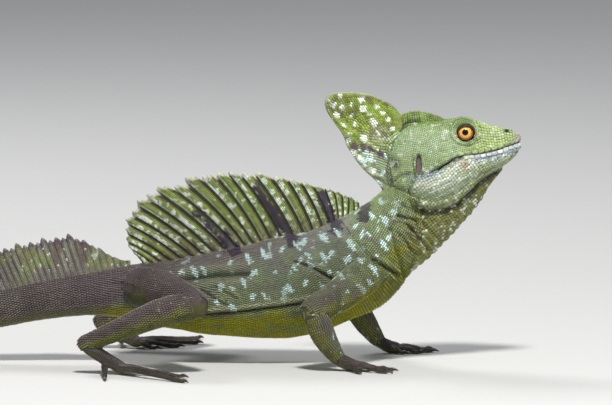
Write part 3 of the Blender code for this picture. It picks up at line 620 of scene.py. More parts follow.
def carveSkin(points, normals):
    # folds, lips, nostrils and wrinkles as moves along the normal
    a, b = sidePlane(points)
    outward = np.abs(normals[:, 1])
    gaps, shares = nearMarks(a, b)
    over = heightOver(a, b, marks["jowlEdge"])
    above = heightOver(a, b, marks["flankFold"])
    eye, nostril, ear = faceGaps(a, b)
    fromEye = b - eyeSpot[1]
    head = soft(60, 64, a) * soft(66, 72, b)
    jowl = soft(62, 70, a) * soft(118, 112, a) * outward
    rear = (1 - soft(0.0, 1.0, jowlBehind(a, b))) * outward * soft(94, 88, b) * soft(80, 74, a)
    onTrunk = soft(27, 23, np.abs(points[:, 1]))
    flank = soft(0.3, 0.6, outward) * fadedEnds(shares["flankFold"], 0.12) * onTrunk * (gaps["flankFold"] < 6)
    # what a form is measured from, how far off it lies, its height, its width and where it shows
    forms = (
        (gaps["mouth"], 0, -0.75, 0.55, head), (gaps["mouth"], 1.5, 0.35, 0.9, head),
        (gaps["cornerFold"], 0, -0.9, 0.8, head), (gaps["cheekFold"], 0, -0.5, 1.0, head),
        (gaps["lipFold"], 0, -0.4, 0.6, head), (over, 2.4, 1.3, 2.6, jowl), (over, -1.6, -2.1, 2.0, jowl),
        (gaps["jowlRear"], 2.4, 1.1, 1.9, rear), (gaps["jowlRear"], 0, -1.1, 1.1, outward),
        (gaps["pocket"], 0, -1.4, 2.2, outward), (gaps["darkArc"], 0, -0.8, 0.8, outward),
        (eye, 6.6, -0.4, 0.45, soft(-1.0, 1.0, fromEye) * outward),
        (eye, 6.9, -0.4, 0.5, soft(0.5, -1.5, fromEye) * outward), (eye, 5.6, 0.18, 0.8, outward),
        (nostril, 1.5, 0.22, 0.5, outward > 0.2), (ear, 1.3, 0.4, 0.22, outward),
        (above, 1.3, 0.9, 1.2, flank), (above, -0.5, -1.2, 0.8, flank),
        (gaps["gularFold"], 0, -1.6, 1.2, soft(0, 0.1, shares["gularFold"])),
    )
    move = -0.9 * soft(1.15, 0.5, nostril) * (outward > 0.2) - 1.1 * soft(1.12, 0.75, ear) * outward
    for gap, at, height, width, where in forms:
        move += height * bell(gap - at, width) * where
    for line, depth, width in creases:
        gap, share = nearLine(a, b, line)
        ends = fadedEnds(share, 0.15) * soft(0.2, 0.5, outward) * onTrunk
        move += (0.5 * bell(gap - 2 * width, width) - bell(gap, width)) * depth * ends
    station, rise, walked = spinePlace(points)
    neck = soft(0.2, 0.8, station) * soft(3.6, 2.8, station) * soft(0.8, 0.2, np.abs(rise))
    waves = np.sin(walked * 1.35 + 5 * cloud(points, 9.0, 3))
    move += 0.22 * waves * neck
    loose = soft(0, 1, station) * soft(9.5, 8, station)
    move += 0.5 * (cloud(points, 7.0, 5) - 0.5) * loose
    throat = soft(84, 74, b) * soft(60, 66, a)
    move += 0.22 * np.sin((a * 0.62 + b * 0.78) * 1.55 + 4 * cloud(points, 8.0, 6)) * throat
    move += 0.18 * (cloud(points, 2.6, 9) - 0.5) * (1 - isDigit)
    return points + normals * move[:, None]


skinPoints = carveSkin(skinPoints, skinNormals)
skinNormals = vertexNormals(skinPoints, skinFaces)
skinTree = BVHTree.FromPolygons(skinPoints.tolist(), skinFaces.tolist())
faceRegion = skinRegion[skinFaces[:, 0]]
print("skin folded")


# colours, the same for the skin and for every scale on it

palette = {
    "flank": (0.185, 0.215, 0.115),
    "flankBlue": (0.185, 0.215, 0.150),
    "back": (0.165, 0.140, 0.138),
    "backFront": (0.260, 0.260, 0.235),
    "tailBase": (0.125, 0.098, 0.100),
    "belly": (0.390, 0.375, 0.012),
    "chest": (0.150, 0.170, 0.028),
    "pale": (0.600, 0.790, 0.760),
    "paleWarm": (0.420, 0.420, 0.260),
    # painted shade for creases, folds, hollows and the shadow under the jowl
    "paintedShade": (0.016, 0.014, 0.012),
    "bar": (0.034, 0.019, 0.046),
    "throat": (0.140, 0.148, 0.036),
    "jowl": (0.410, 0.435, 0.345),
    "jaw": (0.430, 0.440, 0.490),
    "cheek": (0.240, 0.310, 0.130),
    "temple": (0.315, 0.410, 0.225),
    "snout": (0.300, 0.385, 0.150),
    "snoutTip": (0.420, 0.390, 0.360),
    "crown": (0.150, 0.225, 0.050),
    "lip": (0.330, 0.355, 0.370),
    "blueFold": (0.150, 0.215, 0.260),
    "pink": (0.300, 0.210, 0.220),
    "red": (0.260, 0.080, 0.045),
    "limb": (0.140, 0.122, 0.092),
    "limbUnder": (0.190, 0.200, 0.040),
    "hand": (0.062, 0.048, 0.042),
    "thigh": (0.118, 0.088, 0.084),
    "tail": (0.120, 0.100, 0.085),
    "tailBand": (0.048, 0.038, 0.036),
    "tailUnder": (0.200, 0.190, 0.085),
    "crest": (0.215, 0.300, 0.040),
    "crestDeep": (0.110, 0.150, 0.018),
    "crestPale": (0.300, 0.370, 0.260),
    "white": (0.700, 0.760, 0.680),
    "sail": (0.240, 0.295, 0.085),
    # painted shade for deep creases and the grooves between the pleats of the fins
    "paintedGrooveShade": (0.022, 0.026, 0.010),
    "edge": (0.420, 0.390, 0.330),
    "purple": (0.075, 0.035, 0.080),
    "brown": (0.090, 0.055, 0.025),
    "lilac": (0.185, 0.145, 0.125),
}
palette = {name: np.array(value) for name, value in palette.items()}
redSpot = (91.6, 92.0)
tailBandLength = 24.0
blemishes = ((69.5, 58.4), (66.9, 61.9), (63.2, 74.0), (62.4, 68.0), (-21.3, 52.5))
paleSpots = (
    (40.4, 63.9), (32.4, 60.6), (25.8, 58.8), (6.1, 52.6), (-9.9, 48.9), (52.6, 75.2), (58.3, 70.5),
    (54.0, 66.7), (47.9, 69.1), (43.7, 60.2), (46.5, 60.2), (24.9, 58.3), (16.0, 56.4), (12.7, 54.5),
    (-2.8, 51.2), (-18.3, 46.5), (-31.0, 43.2), (38.5, 55.0), (55.9, 58.8), (53.6, 55.0), (50.3, 50.3),
    (29.1, 50.8), (25.8, 49.3), (18.3, 50.3), (14.6, 47.9), (11.8, 44.2), (19.3, 45.6), (36.7, 48.4),
    (42.8, 47.5), (49.3, 42.8), (28.2, 42.3), (33.4, 40.9), (9.4, 34.8), (16.9, 37.1), (25.4, 34.8),
    (-2.3, 31.5), (-8.0, 30.5), (-17.4, 26.3), (-24.4, 28.2), (-22.6, 35.2), (-17.4, 34.8), (-12.2, 37.6),
    (-7.5, 41.4), (47.0, 37.6), (42.8, 34.8), (34.8, 30.5), (22.1, 28.2), (26.3, 27.3), (-53.1, 39.5),
    (-49.3, 40.2), (-45.6, 40.9), (-40.9, 42.3), (-35.5, 42.6), (-60.0, 38.6),
)
barLines = (
    ((23.9, 78.7), (30.2, 66.1), (31.5, 63.5), (29.4, 59.0)),
    ((-6.6, 82.5), (10.6, 59.0), (11.2, 53.0)),
    ((-33.6, 70.3), (-16.9, 54.5), (-14.6, 49.5)),
    ((44.9, 74.0), (44.6, 70.0), (44.2, 65.0)),
)


def blend(tones, other, share):
    return tones * (1 - share[:, None]) + other * share[:, None]


def plain(colour, points):
    return np.repeat(palette[colour][None], len(points), 0)


def layered(tones, *layers):
    # mixes colours in, one over the other, each by its own share
    for amount, colour in layers:
        tones = blend(tones, palette[colour], np.clip(amount, 0, 1))
    return tones


def lobeTone(u, v, middle):
    # yellow-green with brown streaks and white spots on the rear lobe, plainer on the front one
    x, z = middle[:, 0], middle[:, 2]
    wander, fine, ragged = clouds(middle, (5.0, 51), (1.5, 52), (0.9, 54))
    beige = np.hypot((x - 50.0) / 6.5, (z - 105.5) / 5.5)
    streak = np.sin((x * 0.62 + z) * 1.15 + 5 * cloud(middle, 7.0, 55))
    tones = layered(
        plain("crest", middle),
        (soft(0.45, 0.75, cloud(middle, 8.0, 53)) * 0.5, "crestDeep"),
        (soft(104, 97, z + wander * 4) * 0.75, "crestPale"),
        (soft(1.3, 0.5, beige + wander) * 0.55, "paleWarm"),
        (soft(0.55, 0.95, streak + fine) * 0.42, "brown"),
        (soft(0.68, 0.76, cloud(middle, 1.9, 56)) * 0.5, "brown"),
    )
    for index, (px, pz) in enumerate(crestWhite):
        size = 0.85 + 0.6 * ((index * 5) % 7) / 6
        gap = np.hypot((x - px) / size, (z - pz) / (size * (0.8 + 0.5 * (index % 3) / 2)))
        tones = layered(tones, (soft(1.2, 0.85, gap + ragged * 1.1) * 0.9, "white"))
    tones = layered(tones, (soft(0.72, 0.78, cloud(middle, 1.7, 57)) * soft(110, 100, z) * 0.8, "pale"))
    for px, pz in crestPurple:
        tones = layered(tones, (soft(1.9, 1.3, np.hypot(x - px, z - pz) + ragged * 1.5) * 0.85, "purple"))
    front = soft(62.4, 63.4, x) * soft(108, 109, z)
    tones = layered(
        tones,
        (front * 0.85, "crown"),
        (front * soft(0.5, 0.8, cloud(middle, 3.0, 58)) * 0.4, "temple"),
        (soft(0.955, 0.99, v + ragged * 0.03) * 0.6, "edge"),
        (bell(v - 0.93, 0.02) * 0.5, "brown"),
        # painted shade in the fold under the front lobe
        (bell(nearLine(*sidePlane(middle), marks["darkArc"])[0], 0.7) * 0.85, "paintedShade"),
        (soft(0.25, 0.05, v) * 0.45, "cheek"),
    )
    return tones * (1 + 0.3 * wander + 0.25 * fine)[:, None]


def headTone(points, outward, wander, fine, gaps, shares):
    a, b = sidePlane(points)
    mouthOver, jowlOver = heightOver(a, b, marks["mouth"]), heightOver(a, b, marks["jowlEdge"])
    eye, nostril, ear = faceGaps(a, b)
    fromEye, lateral = b - eyeSpot[1], np.abs(points[:, 1])
    head = layered(
        plain("temple", points),
        (soft(84, 98, a + wander * 5), "snout"),
        (soft(107.5, 112.5, b + wander * 2) * soft(100, 90, a), "crown"),
        (soft(112, 117, a + fine * 3), "snoutTip"),
        (soft(100, 93, b) * soft(88, 82, a) * 0.8, "cheek"),
    )
    rows = 0.5 + 0.5 * np.sin((b * 0.9 - a * 0.42) * 2 * math.pi / 2.9 + wander)
    jaw = layered(
        plain("jowl", points),
        (soft(98, 110, a), "jaw"),
        (soft(12.5, 2.0, jowlOver + wander * 5) * 0.85, "cheek"),
        (soft(4, 0.5, jowlOver + wander * 3) * 0.7, "throat"),
        (soft(0.72, 0.80, cloud(points, 1.5, 45)) * soft(5, 9, jowlOver) * 0.6, "white"),
        (soft(0.45, 0.95, rows) * 0.32, "cheek"),
        (soft(0.55, 0.05, rows) * 0.22, "white"),
    )
    below = soft(0.2, -0.4, mouthOver) * soft(60, 66, a) * soft(1.0, -1.0, jowlBehind(a, b) + fine * 2)
    lipBand = soft(0.3, -0.3, mouthOver) * soft(4.6, 3.6, gaps["mouth"]) * soft(93, 97, a)
    head = layered(blend(head, jaw, below), (lipBand * 0.8, "lip"))
    weave = np.sin((a + b) * 1.7) * np.sin((a - b) * 1.7)
    throat = layered(
        plain("throat", points),
        (soft(60, 45, b) * 0.4, "chest"),
        (soft(0.70, 0.76, cloud(points, 1.7, 43)) * 0.7, "jowl"),
        (soft(3.0, 0.8, lateral) * soft(0.55, 0.68, cloud(points, 1.6, 44)) * 0.6, "jowl"),
        (soft(-0.2, -0.9, weave + wander) * 0.3, "brown"),
    )
    head = blend(head, throat, soft(0.6, -1.2, jowlOver) * soft(60, 64, a))
    lidFold = 0.5 + 0.5 * np.cos(np.arctan2(fromEye, a - eyeSpot[0]) * 9 + wander * 6)
    red = np.hypot(a - redSpot[0], b - redSpot[1])
    earRim = soft(-0.5, 0.6, (b - earSpot[1]) / earHalf[1] - (a - earSpot[0]) / earHalf[0])
    head = layered(
        head,
        # painted shade: the shadow under the jowl's edge, and dark lines in the mouth's groove, the corner
        # fold, the jowl's rear crease and the pocket behind the jaw
        (bell(jowlOver + 1.6, 1.7) * soft(62, 70, a) * 0.8 * outward, "paintedShade"),
        (bell(gaps["mouth"], 0.36) * 0.9, "paintedShade"),
        (bell(gaps["cornerFold"], 1.9) * 0.45 * soft(0.2, 0.7, shares["cornerFold"]), "blueFold"),
        (bell(gaps["cornerFold"], 0.75) * 0.85, "paintedShade"),
        (bell(gaps["cheekFold"], 1.6) * 0.55, "blueFold"),
        (bell(gaps["jowlRear"], 0.9) * 0.6 * soft(0.05, 0.3, shares["jowlRear"]), "paintedShade"),
        (bell(gaps["lipFold"], 0.6) * 0.6, "blueFold"),
        (bell(gaps["pocket"], 2.2) * 0.85, "paintedShade"),
        (soft(0.70, 0.80, cloud(points, 1.9, 41)) * 0.45, "white"),
        (soft(0.34, 0.18, cloud(points, 2.6, 42)) * 0.35, "crown"),
        (soft(2.6, 0.8, red + fine * 2) * 0.5, "red"),
        (bell(eye - 5.4, 0.6) * 0.2, "temple"),
        (bell(eye - 6.7, 0.5) * 0.4 * lidFold, "crown"),
        (bell(eye - 4.4, 0.35) * soft(1.5, -1.5, fromEye) * 0.7, "pink"),
        (soft(4.5, 4.1, eye) * 0.8 * soft(0.8, -0.8, fromEye), "pink"),
        # painted shade in the socket under the lids, in the nostril and under the upper rear rim of the ear
        (soft(4.1, 3.7, eye) * 0.92, "paintedShade"),
        (soft(1.2, 0.7, nostril) * (outward > 0.15), "paintedShade"),
        (soft(1.1, 0.9, ear) * 0.85, "pink"),
        (bell(ear - 1.05, 0.16) * 0.7 * earRim, "paintedShade"),
    )
    onCrown = soft(113.6, 115.4, points[:, 2]) * soft(60, 64, a) * soft(86, 82, a) * soft(5, 3, lateral)
    onLobe = np.maximum(soft(60.5, 52.0, a) * soft(82, 86, b), onCrown)
    half = np.full(len(points), 0.5)
    head = blend(head, lobeTone(half, half, points), onLobe)
    # painted shade in the fold under the front lobe
    return layered(head, (bell(gaps["darkArc"], 0.7) * 0.85, "paintedShade"))


def paint(points, normals, region):
    a, b = sidePlane(points)
    station, rise, walked = spinePlace(points)
    away, outward = np.abs(points[:, 1]), np.abs(normals[:, 1])
    wander, fine, broad, ragged = clouds(points, (6.0, 11), (1.6, 12), (14.0, 13), (0.95, 14))
    gaps, shares = nearMarks(a, b)
    # trunk
    rear = soft(3.4, 6.5, station)
    high = soft(0.42 - 0.14 * rear, 0.86 - 0.16 * rear, rise + wander * 0.5 + fine * 0.2)
    high = high * soft(1.6, 2.6, station) * 0.9
    mottle = cloud(points * (1.0, 1.0, 0.85), 3.4, 21)
    tones = layered(
        plain("flank", points),
        (soft(-0.25, 0.35, rise + wander * 0.7) * 0.6, "flankBlue"),
        (high * (1 - rear), "backFront"),
        (high * rear, "back"),
        (soft(3.3, 1.6, station) * soft(-0.6, 0.2, rise) * 0.75, "cheek"),
        (soft(-0.30, -0.62, rise + wander * 0.35), "belly"),
        (soft(3.6, 2.6, station) * soft(0.1, -0.5, rise) * 0.7, "chest"),
        (soft(0.80, 0.86, mottle + ragged * 0.12) * soft(-0.5, 0.0, rise) * 0.6, "pale"),
        (soft(0.40, 0.20, mottle) * soft(-0.5, 0.1, rise) * 0.4, "back"),
        (soft(0.55, 0.8, cloud(points, 4.6, 22)) * soft(0.9, 0.4, rise) * 0.5, "cheek"),
    )
    for line in barLines:
        gap, share = nearLine(a, b, line)
        inBar = soft(3.0, 2.2, gap + ragged * 2.6 + wander * 1.5) * 0.85 * soft(0.97, 0.90, share)
        tones = layered(tones, (inBar, "bar"))
    over = heightOver(a, b, marks["flankFold"])
    onTrunk = soft(27, 23, away)
    flank = soft(0.25, 0.5, outward) * fadedEnds(shares["flankFold"], 0.1) * (gaps["flankFold"] < 7) * onTrunk
    # a pale band along the fold's ridge, and painted shade in the groove below it
    tones = layered(
        tones,
        (bell(over - 1.3, 1.0) * flank * 0.6, "paleWarm"),
        (bell(over + 0.4, 0.65) * flank * 0.9, "paintedShade"),
    )
    # painted shade in each crease, darker where the crease is deeper, and a painted highlight on the ridge
    # beside it
    for line, depth, width in creases:
        gap, share = nearLine(a, b, line)
        ends = fadedEnds(share, 0.15) * soft(0.2, 0.5, outward) * onTrunk
        tones = layered(
            tones,
            (bell(gap, 0.8 * width) * ends * 0.65 * min(depth, 1.2), "paintedShade" if width < 1.5 else "paintedGrooveShade"),
            (bell(gap - 1.9 * width, width) * ends * 0.25, "paleWarm"),
        )
    # tail: bands that grow clearer towards the end
    onTail = soft(7.3, 8.9, station + wander * 0.6) * soft(-0.65, 0.1, rise + wander * 0.4)
    wave = 0.5 + 0.5 * np.sin(walked * 2 * math.pi / tailBandLength + wander * 2.2)
    tail = layered(
        plain("tailBase", points),
        (soft(10, 12, station + wander), "tail"),
        (soft(0.35, 0.75, wave) * (0.35 * soft(9, 11, station) + 0.5 * soft(11, 15, station)), "tailBand"),
        (soft(-0.35, -0.75, rise) * 0.8, "tailUnder"),
    )
    tones = blend(tones, tail, np.clip(onTail + soft(8.9, 10.2, station), 0, 1))
    spotted = np.zeros(len(points))
    for index, (x, height) in enumerate(paleSpots):
        size = 1.15 + 0.55 * ((index * 7) % 5) / 4
        lean = (b - height) * (0.5 if index % 3 else -0.3)
        gap = np.hypot((a - x + lean) / (size * 0.80), (b - height) / (size * 1.25))
        spotted = np.maximum(spotted, soft(1.25, 0.95, gap + ragged * 1.3) * 0.92 * (outward > 0.2))
    tones = layered(tones, (spotted, "pale"))
    # limbs: brown above, yellow-green beneath, with pale flecks
    arms, legs = within(region, "upper_arm", "forearm"), within(region, "thigh", "shank")
    limbTone = layered(
        plain("limb", points),
        (legs.astype(float), "thigh"),
        (soft(0.35, 0.75, cloud(points, 7.0, 33)) * arms * 0.5, "flank"),
        (soft(0.30, -0.35, normals[:, 2] + wander * 0.6) * 0.85, "limbUnder"),
        (soft(0.40, 0.22, cloud(points, 4.6, 32)) * 0.35, "tailBand"),
        (soft(0.84, 0.88, cloud(points, 1.9, 31) + ragged * 0.12) * 0.35, "paleWarm"),
        (soft(0.82, 0.86, cloud(points, 2.3, 35) + ragged * 0.12) * arms * 0.6, "pale"),
    )
    joint = np.where(arms, soft(21, 37, away + wander * 8), soft(10, 24, away + wander * 6)) * (arms | legs)
    hip = soft(9, 22, away + wander * 8) * soft(-28, -40, a) * soft(8.9, 8.4, station) * 0.8
    tones = blend(tones, limbTone, joint + hip * ~(arms | legs))
    paws = layered(
        plain("hand", points),
        (soft(0.5, 0.75, cloud(points, 2.2, 34)) * 0.35, "thigh"),
        (soft(0.0, -0.7, normals[:, 2]) * 0.5, "limbUnder"),
    )
    tones = np.where(within(region, "hand", "foot")[:, None], paws, tones)
    onHead = within(region, "head", "throat") | (region >= len(fleshNodes))
    tones = np.where(onHead[:, None], headTone(points, outward, wander, fine, gaps, shares), tones)
    for x, height in blemishes:
        gap = np.hypot(a - x, (b - height) / 1.5)
        tones = layered(tones, (soft(1.2, 0.6, gap + fine * 0.8) * (outward > 0.2) * 0.7, "purple"))
    # the neck takes the temple's light green beside the head
    byHead = soft(2.2, 0.4, station) * soft(62, 74, b) * (region == regionOf["neck"])
    tones = layered(tones, (byHead * 0.5, "cheek"))
    # painted light on the lower neck beside the head, where the head's shadow falls
    paintedNeckLight = 1 + 0.34 * soft(3.4, 2.0, station) * soft(-0.9, -0.2, rise) * ~onHead
    return tones * (paintedNeckLight * (1 + 0.16 * broad + 0.20 * fine))[:, None]


skinTones = paint(skinPoints, skinNormals, skinRegion)
# painted shade between the scales: the skin under the coat is darkened, less beside the mouth
byMouth = (nearLine(*sidePlane(skinPoints), marks["mouth"])[0] < 3.4) & (skinPoints[:, 0] > 91)
skinShade = np.where(byMouth, 0.9, np.where(isHead, 0.50, 0.42))
skinMesh = meshOf("skin", skinPoints, skinFaces, skinTones * skinShade[:, None])
place("skin", skinMesh, materials["skin"], "skin", *fleshNodes)
print("skin painted")


# scales: small closed bodies set in rows on the skin

# outline and keel of one scale: forward, across and out, for a length, width and height of 1
keeledScale = {
    "points": (
        (0.50, 0, -0.5), (0.22, 0.44, 0.0), (-0.22, 0.40, 0.30), (-0.62, 0, 0.62), (-0.22, -0.40, 0.30),
        (0.22, -0.44, 0.0), (0.16, 0, 0.72), (-0.34, 0, 1.0),
    ),
    "faces": ((0, 1, 6), (1, 2, 7), (1, 7, 6), (2, 3, 7), (3, 4, 7), (4, 5, 6), (4, 6, 7), (5, 0, 6),
              (1, 0, 5), (1, 5, 4), (1, 4, 2), (2, 4, 3)),
}


def beadShape(sides, rings):
    # a low dome on an outline of few sides, closed beneath
    points, faces = [], []
    for radius, height in rings:
        for s in range(sides):
            turn = 2 * math.pi * (s + 0.5) / sides
            points.append((math.cos(turn) * radius, math.sin(turn) * radius, height))
    for r in range(len(rings) - 1):
        for s in range(sides):
            n = (s + 1) % sides
            i, j = r * sides + s, r * sides + n
            faces += [(i, j, j + sides), (i, j + sides, i + sides)]
    top = (len(rings) - 1) * sides
    points.append((0, 0, 1.0))
    faces += [(top + s, top + (s + 1) % sides, len(points) - 1) for s in range(sides)]
    faces += [(0, s + 1, s) for s in range(1, sides - 1)]
    return {"points": tuple(points), "faces": tuple(faces)}


finBead = beadShape(6, ((0.58, -0.1),))
smallBead = beadShape(6, ((0.60, -0.2), (0.47, 0.62)))
largeBead = beadShape(7, ((0.62, -0.25), (0.48, 0.66)))
plateShape = beadShape(12, ((0.50, -0.5), (0.48, 0.45), (0.38, 0.92)))
plateShape["points"] = tuple(
    (math.copysign(abs(x / 0.5) ** 0.45 * 0.5, x), math.copysign(abs(y / 0.5) ** 0.55 * 0.5, y), z)
    for x, y, z in plateShape["points"]
)

pieceLimit = 190000  # the most triangles in one piece


def scaleCoat(name, shape, data, material, slotName, edge=0.50):
    # joins scales into pieces of a fair size, each scale with its own patch on the baking map
    root, normal, forward, size, tone, uv = (np.asarray(data[key], float) for key in
                                             ("root", "normal", "forward", "size", "tone", "uv"))
    shapePoints, shapeFaces = np.array(shape["points"], float), np.array(shape["faces"])
    perPiece = pieceLimit // len(shapeFaces)
    total = 0
    parts = max(1, math.ceil(len(root) / perPiece))
    for part, chosen in enumerate(np.array_split(np.arange(len(root)), parts), 1):
        n = unit(normal[chosen])
        f = unit(forward[chosen] - n * (forward[chosen] * n).sum(1)[:, None])
        s = np.cross(n, f)
        local = shapePoints[None] * size[chosen][:, None, :]
        spots = root[chosen][:, None] + f[:, None] * local[..., :1] + s[:, None] * local[..., 1:2]
        spots = spots + n[:, None] * local[..., 2:3]
        spots[..., 2] = np.maximum(spots[..., 2], 0.02)
        count = len(chosen)
        faces = (shapeFaces[None] + np.arange(count)[:, None, None] * len(shapePoints)).reshape(-1, 3)
        tones = np.repeat(tone[chosen][:, None], len(shapePoints), 1)
        # painted shade at the foot of each scale and a painted highlight on its crown: the tone runs from
        # edge times at the foot to 1.36 times at the top
        lift = edge + (1.36 - edge) * np.clip(shapePoints[:, 2], 0, 1)
        tones = tones * lift[None, :, None]
        patch = uv[chosen][:, None] + shapePoints[None, :, :2] * 0.0026
        piece = name if parts == 1 else f"{name}_{part}"
        mesh = meshOf(piece, spots.reshape(-1, 3), faces, tones.reshape(-1, 3), patch.reshape(-1, 2))
        place(piece, mesh, material, slotName)
        total += len(faces)
    print(name, len(root), "scales,", total, "triangles")


def gather(last="region"):
    return {key: [] for key in ("root", "normal", "forward", "size", "uv", last)}


def addScale(data, *values):
    for column, value in zip(data.values(), values):
        column.append(value)


def hitBy(start, way, reach):
    # where a ray meets the skin: the place, the normal and the region
    spot, normal, face, _ = skinTree.ray_cast(Vector(start), Vector(way), reach)
    return None if spot is None else (np.array(spot), np.array(normal), faceRegion[face])


wholePatch = (0.02, 0.02, 0.98, 0.98)  # the part of the baking map that a coat fills


def ringScales(data, line, step, spacing, rays, nodes, height, uvBox=wholePatch, start=0.0, end=None,
               stretch=1.3, skip=None, frontLimit=0.80, backwards=True):
    # rows of scales round a line: rays find the skin, and the scales are spread evenly along each ring
    line = np.asarray(line, float)
    end = len(line) - 1 if end is None else end
    stations = evenStations(line, start, end, step)
    centres = smoothPath(line, stations)[:, :3]
    after, before = np.minimum(stations + 0.03, end), np.maximum(stations - 0.03, start)
    tangents = unit(smoothPath(line, after)[:, :3] - smoothPath(line, before)[:, :3])
    allowed = set(regionOf[node] for node in nodes)
    u0, v0, u1, v1 = uvBox
    for row, (centre, ahead) in enumerate(zip(centres, tangents)):
        helper = np.array((0, 0, 1.0)) if abs(ahead[2]) < 0.94 else np.array((1.0, 0, 0))
        side = unit(np.cross(helper, ahead))
        above = np.cross(ahead, side)
        hits = []
        for k in range(rays):
            turn = 2 * math.pi * (k + 0.5) / rays
            found = hitBy(centre, above * math.cos(turn) + side * math.sin(turn), 75.0)
            hits.append(found[0] if found and found[2] in allowed else None)
        lengths = []
        for p, q in zip(hits, hits[1:] + hits[:1]):
            gap = 0.0 if p is None or q is None else float(np.linalg.norm(q - p))
            lengths.append(gap if gap < 9 * spacing else 0.0)
        walked = np.concatenate(([0], np.cumsum(lengths)))
        count = int(round(walked[-1] / spacing))
        if count < 3:
            continue
        for k in range(count):
            target = (k + (0.5 if row % 2 else 0.0) + 0.12 * (dice.random() - 0.5)) * walked[-1] / count
            segment = min(int(np.searchsorted(walked, target, "right")) - 1, rays - 1)
            if segment < 0 or lengths[segment] == 0:
                continue
            t = (target - walked[segment]) / lengths[segment]
            guess = hits[segment] * (1 - t) + hits[(segment + 1) % rays] * t
            found = skinTree.find_nearest(Vector(guess))
            region = faceRegion[found[2]]
            spot, normal = np.array(found[0]), np.array(found[1])
            lean = float(normal @ ahead)
            if region not in allowed or abs(lean) > frontLimit or skip is not None and skip(spot):
                continue
            along = step / max(math.sqrt(1 - lean * lean), 0.55)
            wobble = 1 + 0.16 * (dice.random() - 0.5)
            across = walked[-1] / count * 1.06
            size = (along * stretch * wobble, across * wobble, height * (0.85 + 0.3 * dice.random()))
            uv = (u0 + (u1 - u0) * row / len(stations), v0 + (v1 - v0) * ((k + 0.5) / count))
            addScale(data, spot, normal, -ahead if backwards else ahead, size, uv, region)


def coloured(data):
    data["tone"] = paint(np.array(data["root"]), np.array(data["normal"]), np.array(data["region"]))
    count = len(data["tone"])
    data["tone"] = data["tone"] * (0.9 + 0.22 * dice.random(count))[:, None]
    return data


trunkCoats = (
    # name, nodes, rays, from station to station, step, spacing, height, painted shade at the foot of a scale,
    # patch
    ("neck", ["neck"], 96, 0.0, 3.1, 1.05, 1.08, 0.40, 0.34, (0.02, 0.02, 0.98, 0.45)),
    ("torso", ["torso"], 110, 2.3, 9.1, 1.05, 1.08, 0.40, 0.34, wholePatch),
    ("tail_1", ["tail_1", "tail_2", "tail_3"], 48, 8.5, 15.2, 1.25, 1.15, 0.40, 0.50, wholePatch),
    ("tail_2", ["tail_3", "tail_4", "tail_5"], 48, 15.2, 20.1, 1.45, 1.05, 0.36, 0.50, wholePatch),
    ("tail_3", ["tail_5", "tail_6"], 48, 20.1, 22.95, 1.3, 0.9, 0.26, 0.50, wholePatch),
)
for name, nodes, rays, start, end, step, spacing, height, edge, patch in trunkCoats:
    coat = gather()
    ringScales(coat, spineLine, step, spacing, rays, nodes, height, patch, start, end)
    scaleCoat(f"scales_{name}", keeledScale, coloured(coat), materials["scale"], "skin", edge=edge)

for label, side in (("left", 1), ("right", -1)):
    coat = gather()
    for order, part in enumerate(("upper_arm", "forearm", "thigh", "shank")):
        line = np.array(limbLines[f"{part}_{label}"], float) * (1, side, 1)
        ends = np.array((line[0] * 2 - line[1], *line, line[-1] * 2 - line[-2]))
        patch = (0.02, 0.02 + order * 0.245, 0.98, 0.24 + order * 0.245)
        ringScales(coat, ends, 1.12, 1.08, 44, [f"{part}_{label}"], 0.42, patch, 0.4, len(ends) - 1.5)
    scaleCoat(f"scales_limbs_{label}", keeledScale, coloured(coat), materials["scale"], "limb_skin",
              edge=0.40)
    coat = gather()
    for order, part in enumerate(("hand", "foot")):
        name = f"{part}_{label}"
        low, high = 0.02 + order * 0.5, 0.48 + order * 0.5
        line = np.array(limbLines[name], float) * (1, side, 1)
        line[:, 2] = np.maximum(line[:, 2], 1.6)
        ringScales(coat, line, 0.95, 0.95, 26, [name], 0.26, (0.02, low, 0.2, high))
        for number, (toe, claw) in enumerate(digitLines(name)):
            patch = (0.22 + number * 0.15, low, 0.36 + number * 0.15, high)
            ringScales(coat, np.array(toe)[:, :3], 0.92, 1.05, 14, [name], 0.24, patch, 0.15)
    scaleCoat(f"scales_paws_{label}", keeledScale, coloured(coat), materials["scale"], "limb_skin")


def clearOfFace(spot):
    # true where lips, eyes, nostrils and ears have plates of their own
    a, b = sidePlane(spot[None])
    eye, nostril, ear = (gap[0] for gap in faceGaps(a, b))
    lateral = abs(spot[1])
    if eye < 4.7 and lateral > 4 or nostril < 1.3 and lateral > 2 or ear < 1.0 and lateral > 6:
        return True
    limit = 1.9 if heightOver(a, b, marks["mouth"])[0] > 0 else 2.3
    return nearLine(a, b, marks["mouth"])[0][0] < (limit if a[0] > 92 else 0.5)


def belowMouth(spot):
    # true on the jowl, the lower jaw and the throat, whose scales are large
    a, b = (value[0] for value in sidePlane(spot[None]))
    if jowlBehind(a, b) > 0.6 and b > 71.5:
        return False
    return b < np.interp(a, (64, 74, 82, 88, 98, 118), (86, 87.5, 90, 92.5, 94.5, 97.5)) and a > 60.5


def onSnout(spot):
    return spot[0] > 97.0 and not belowMouth(spot)


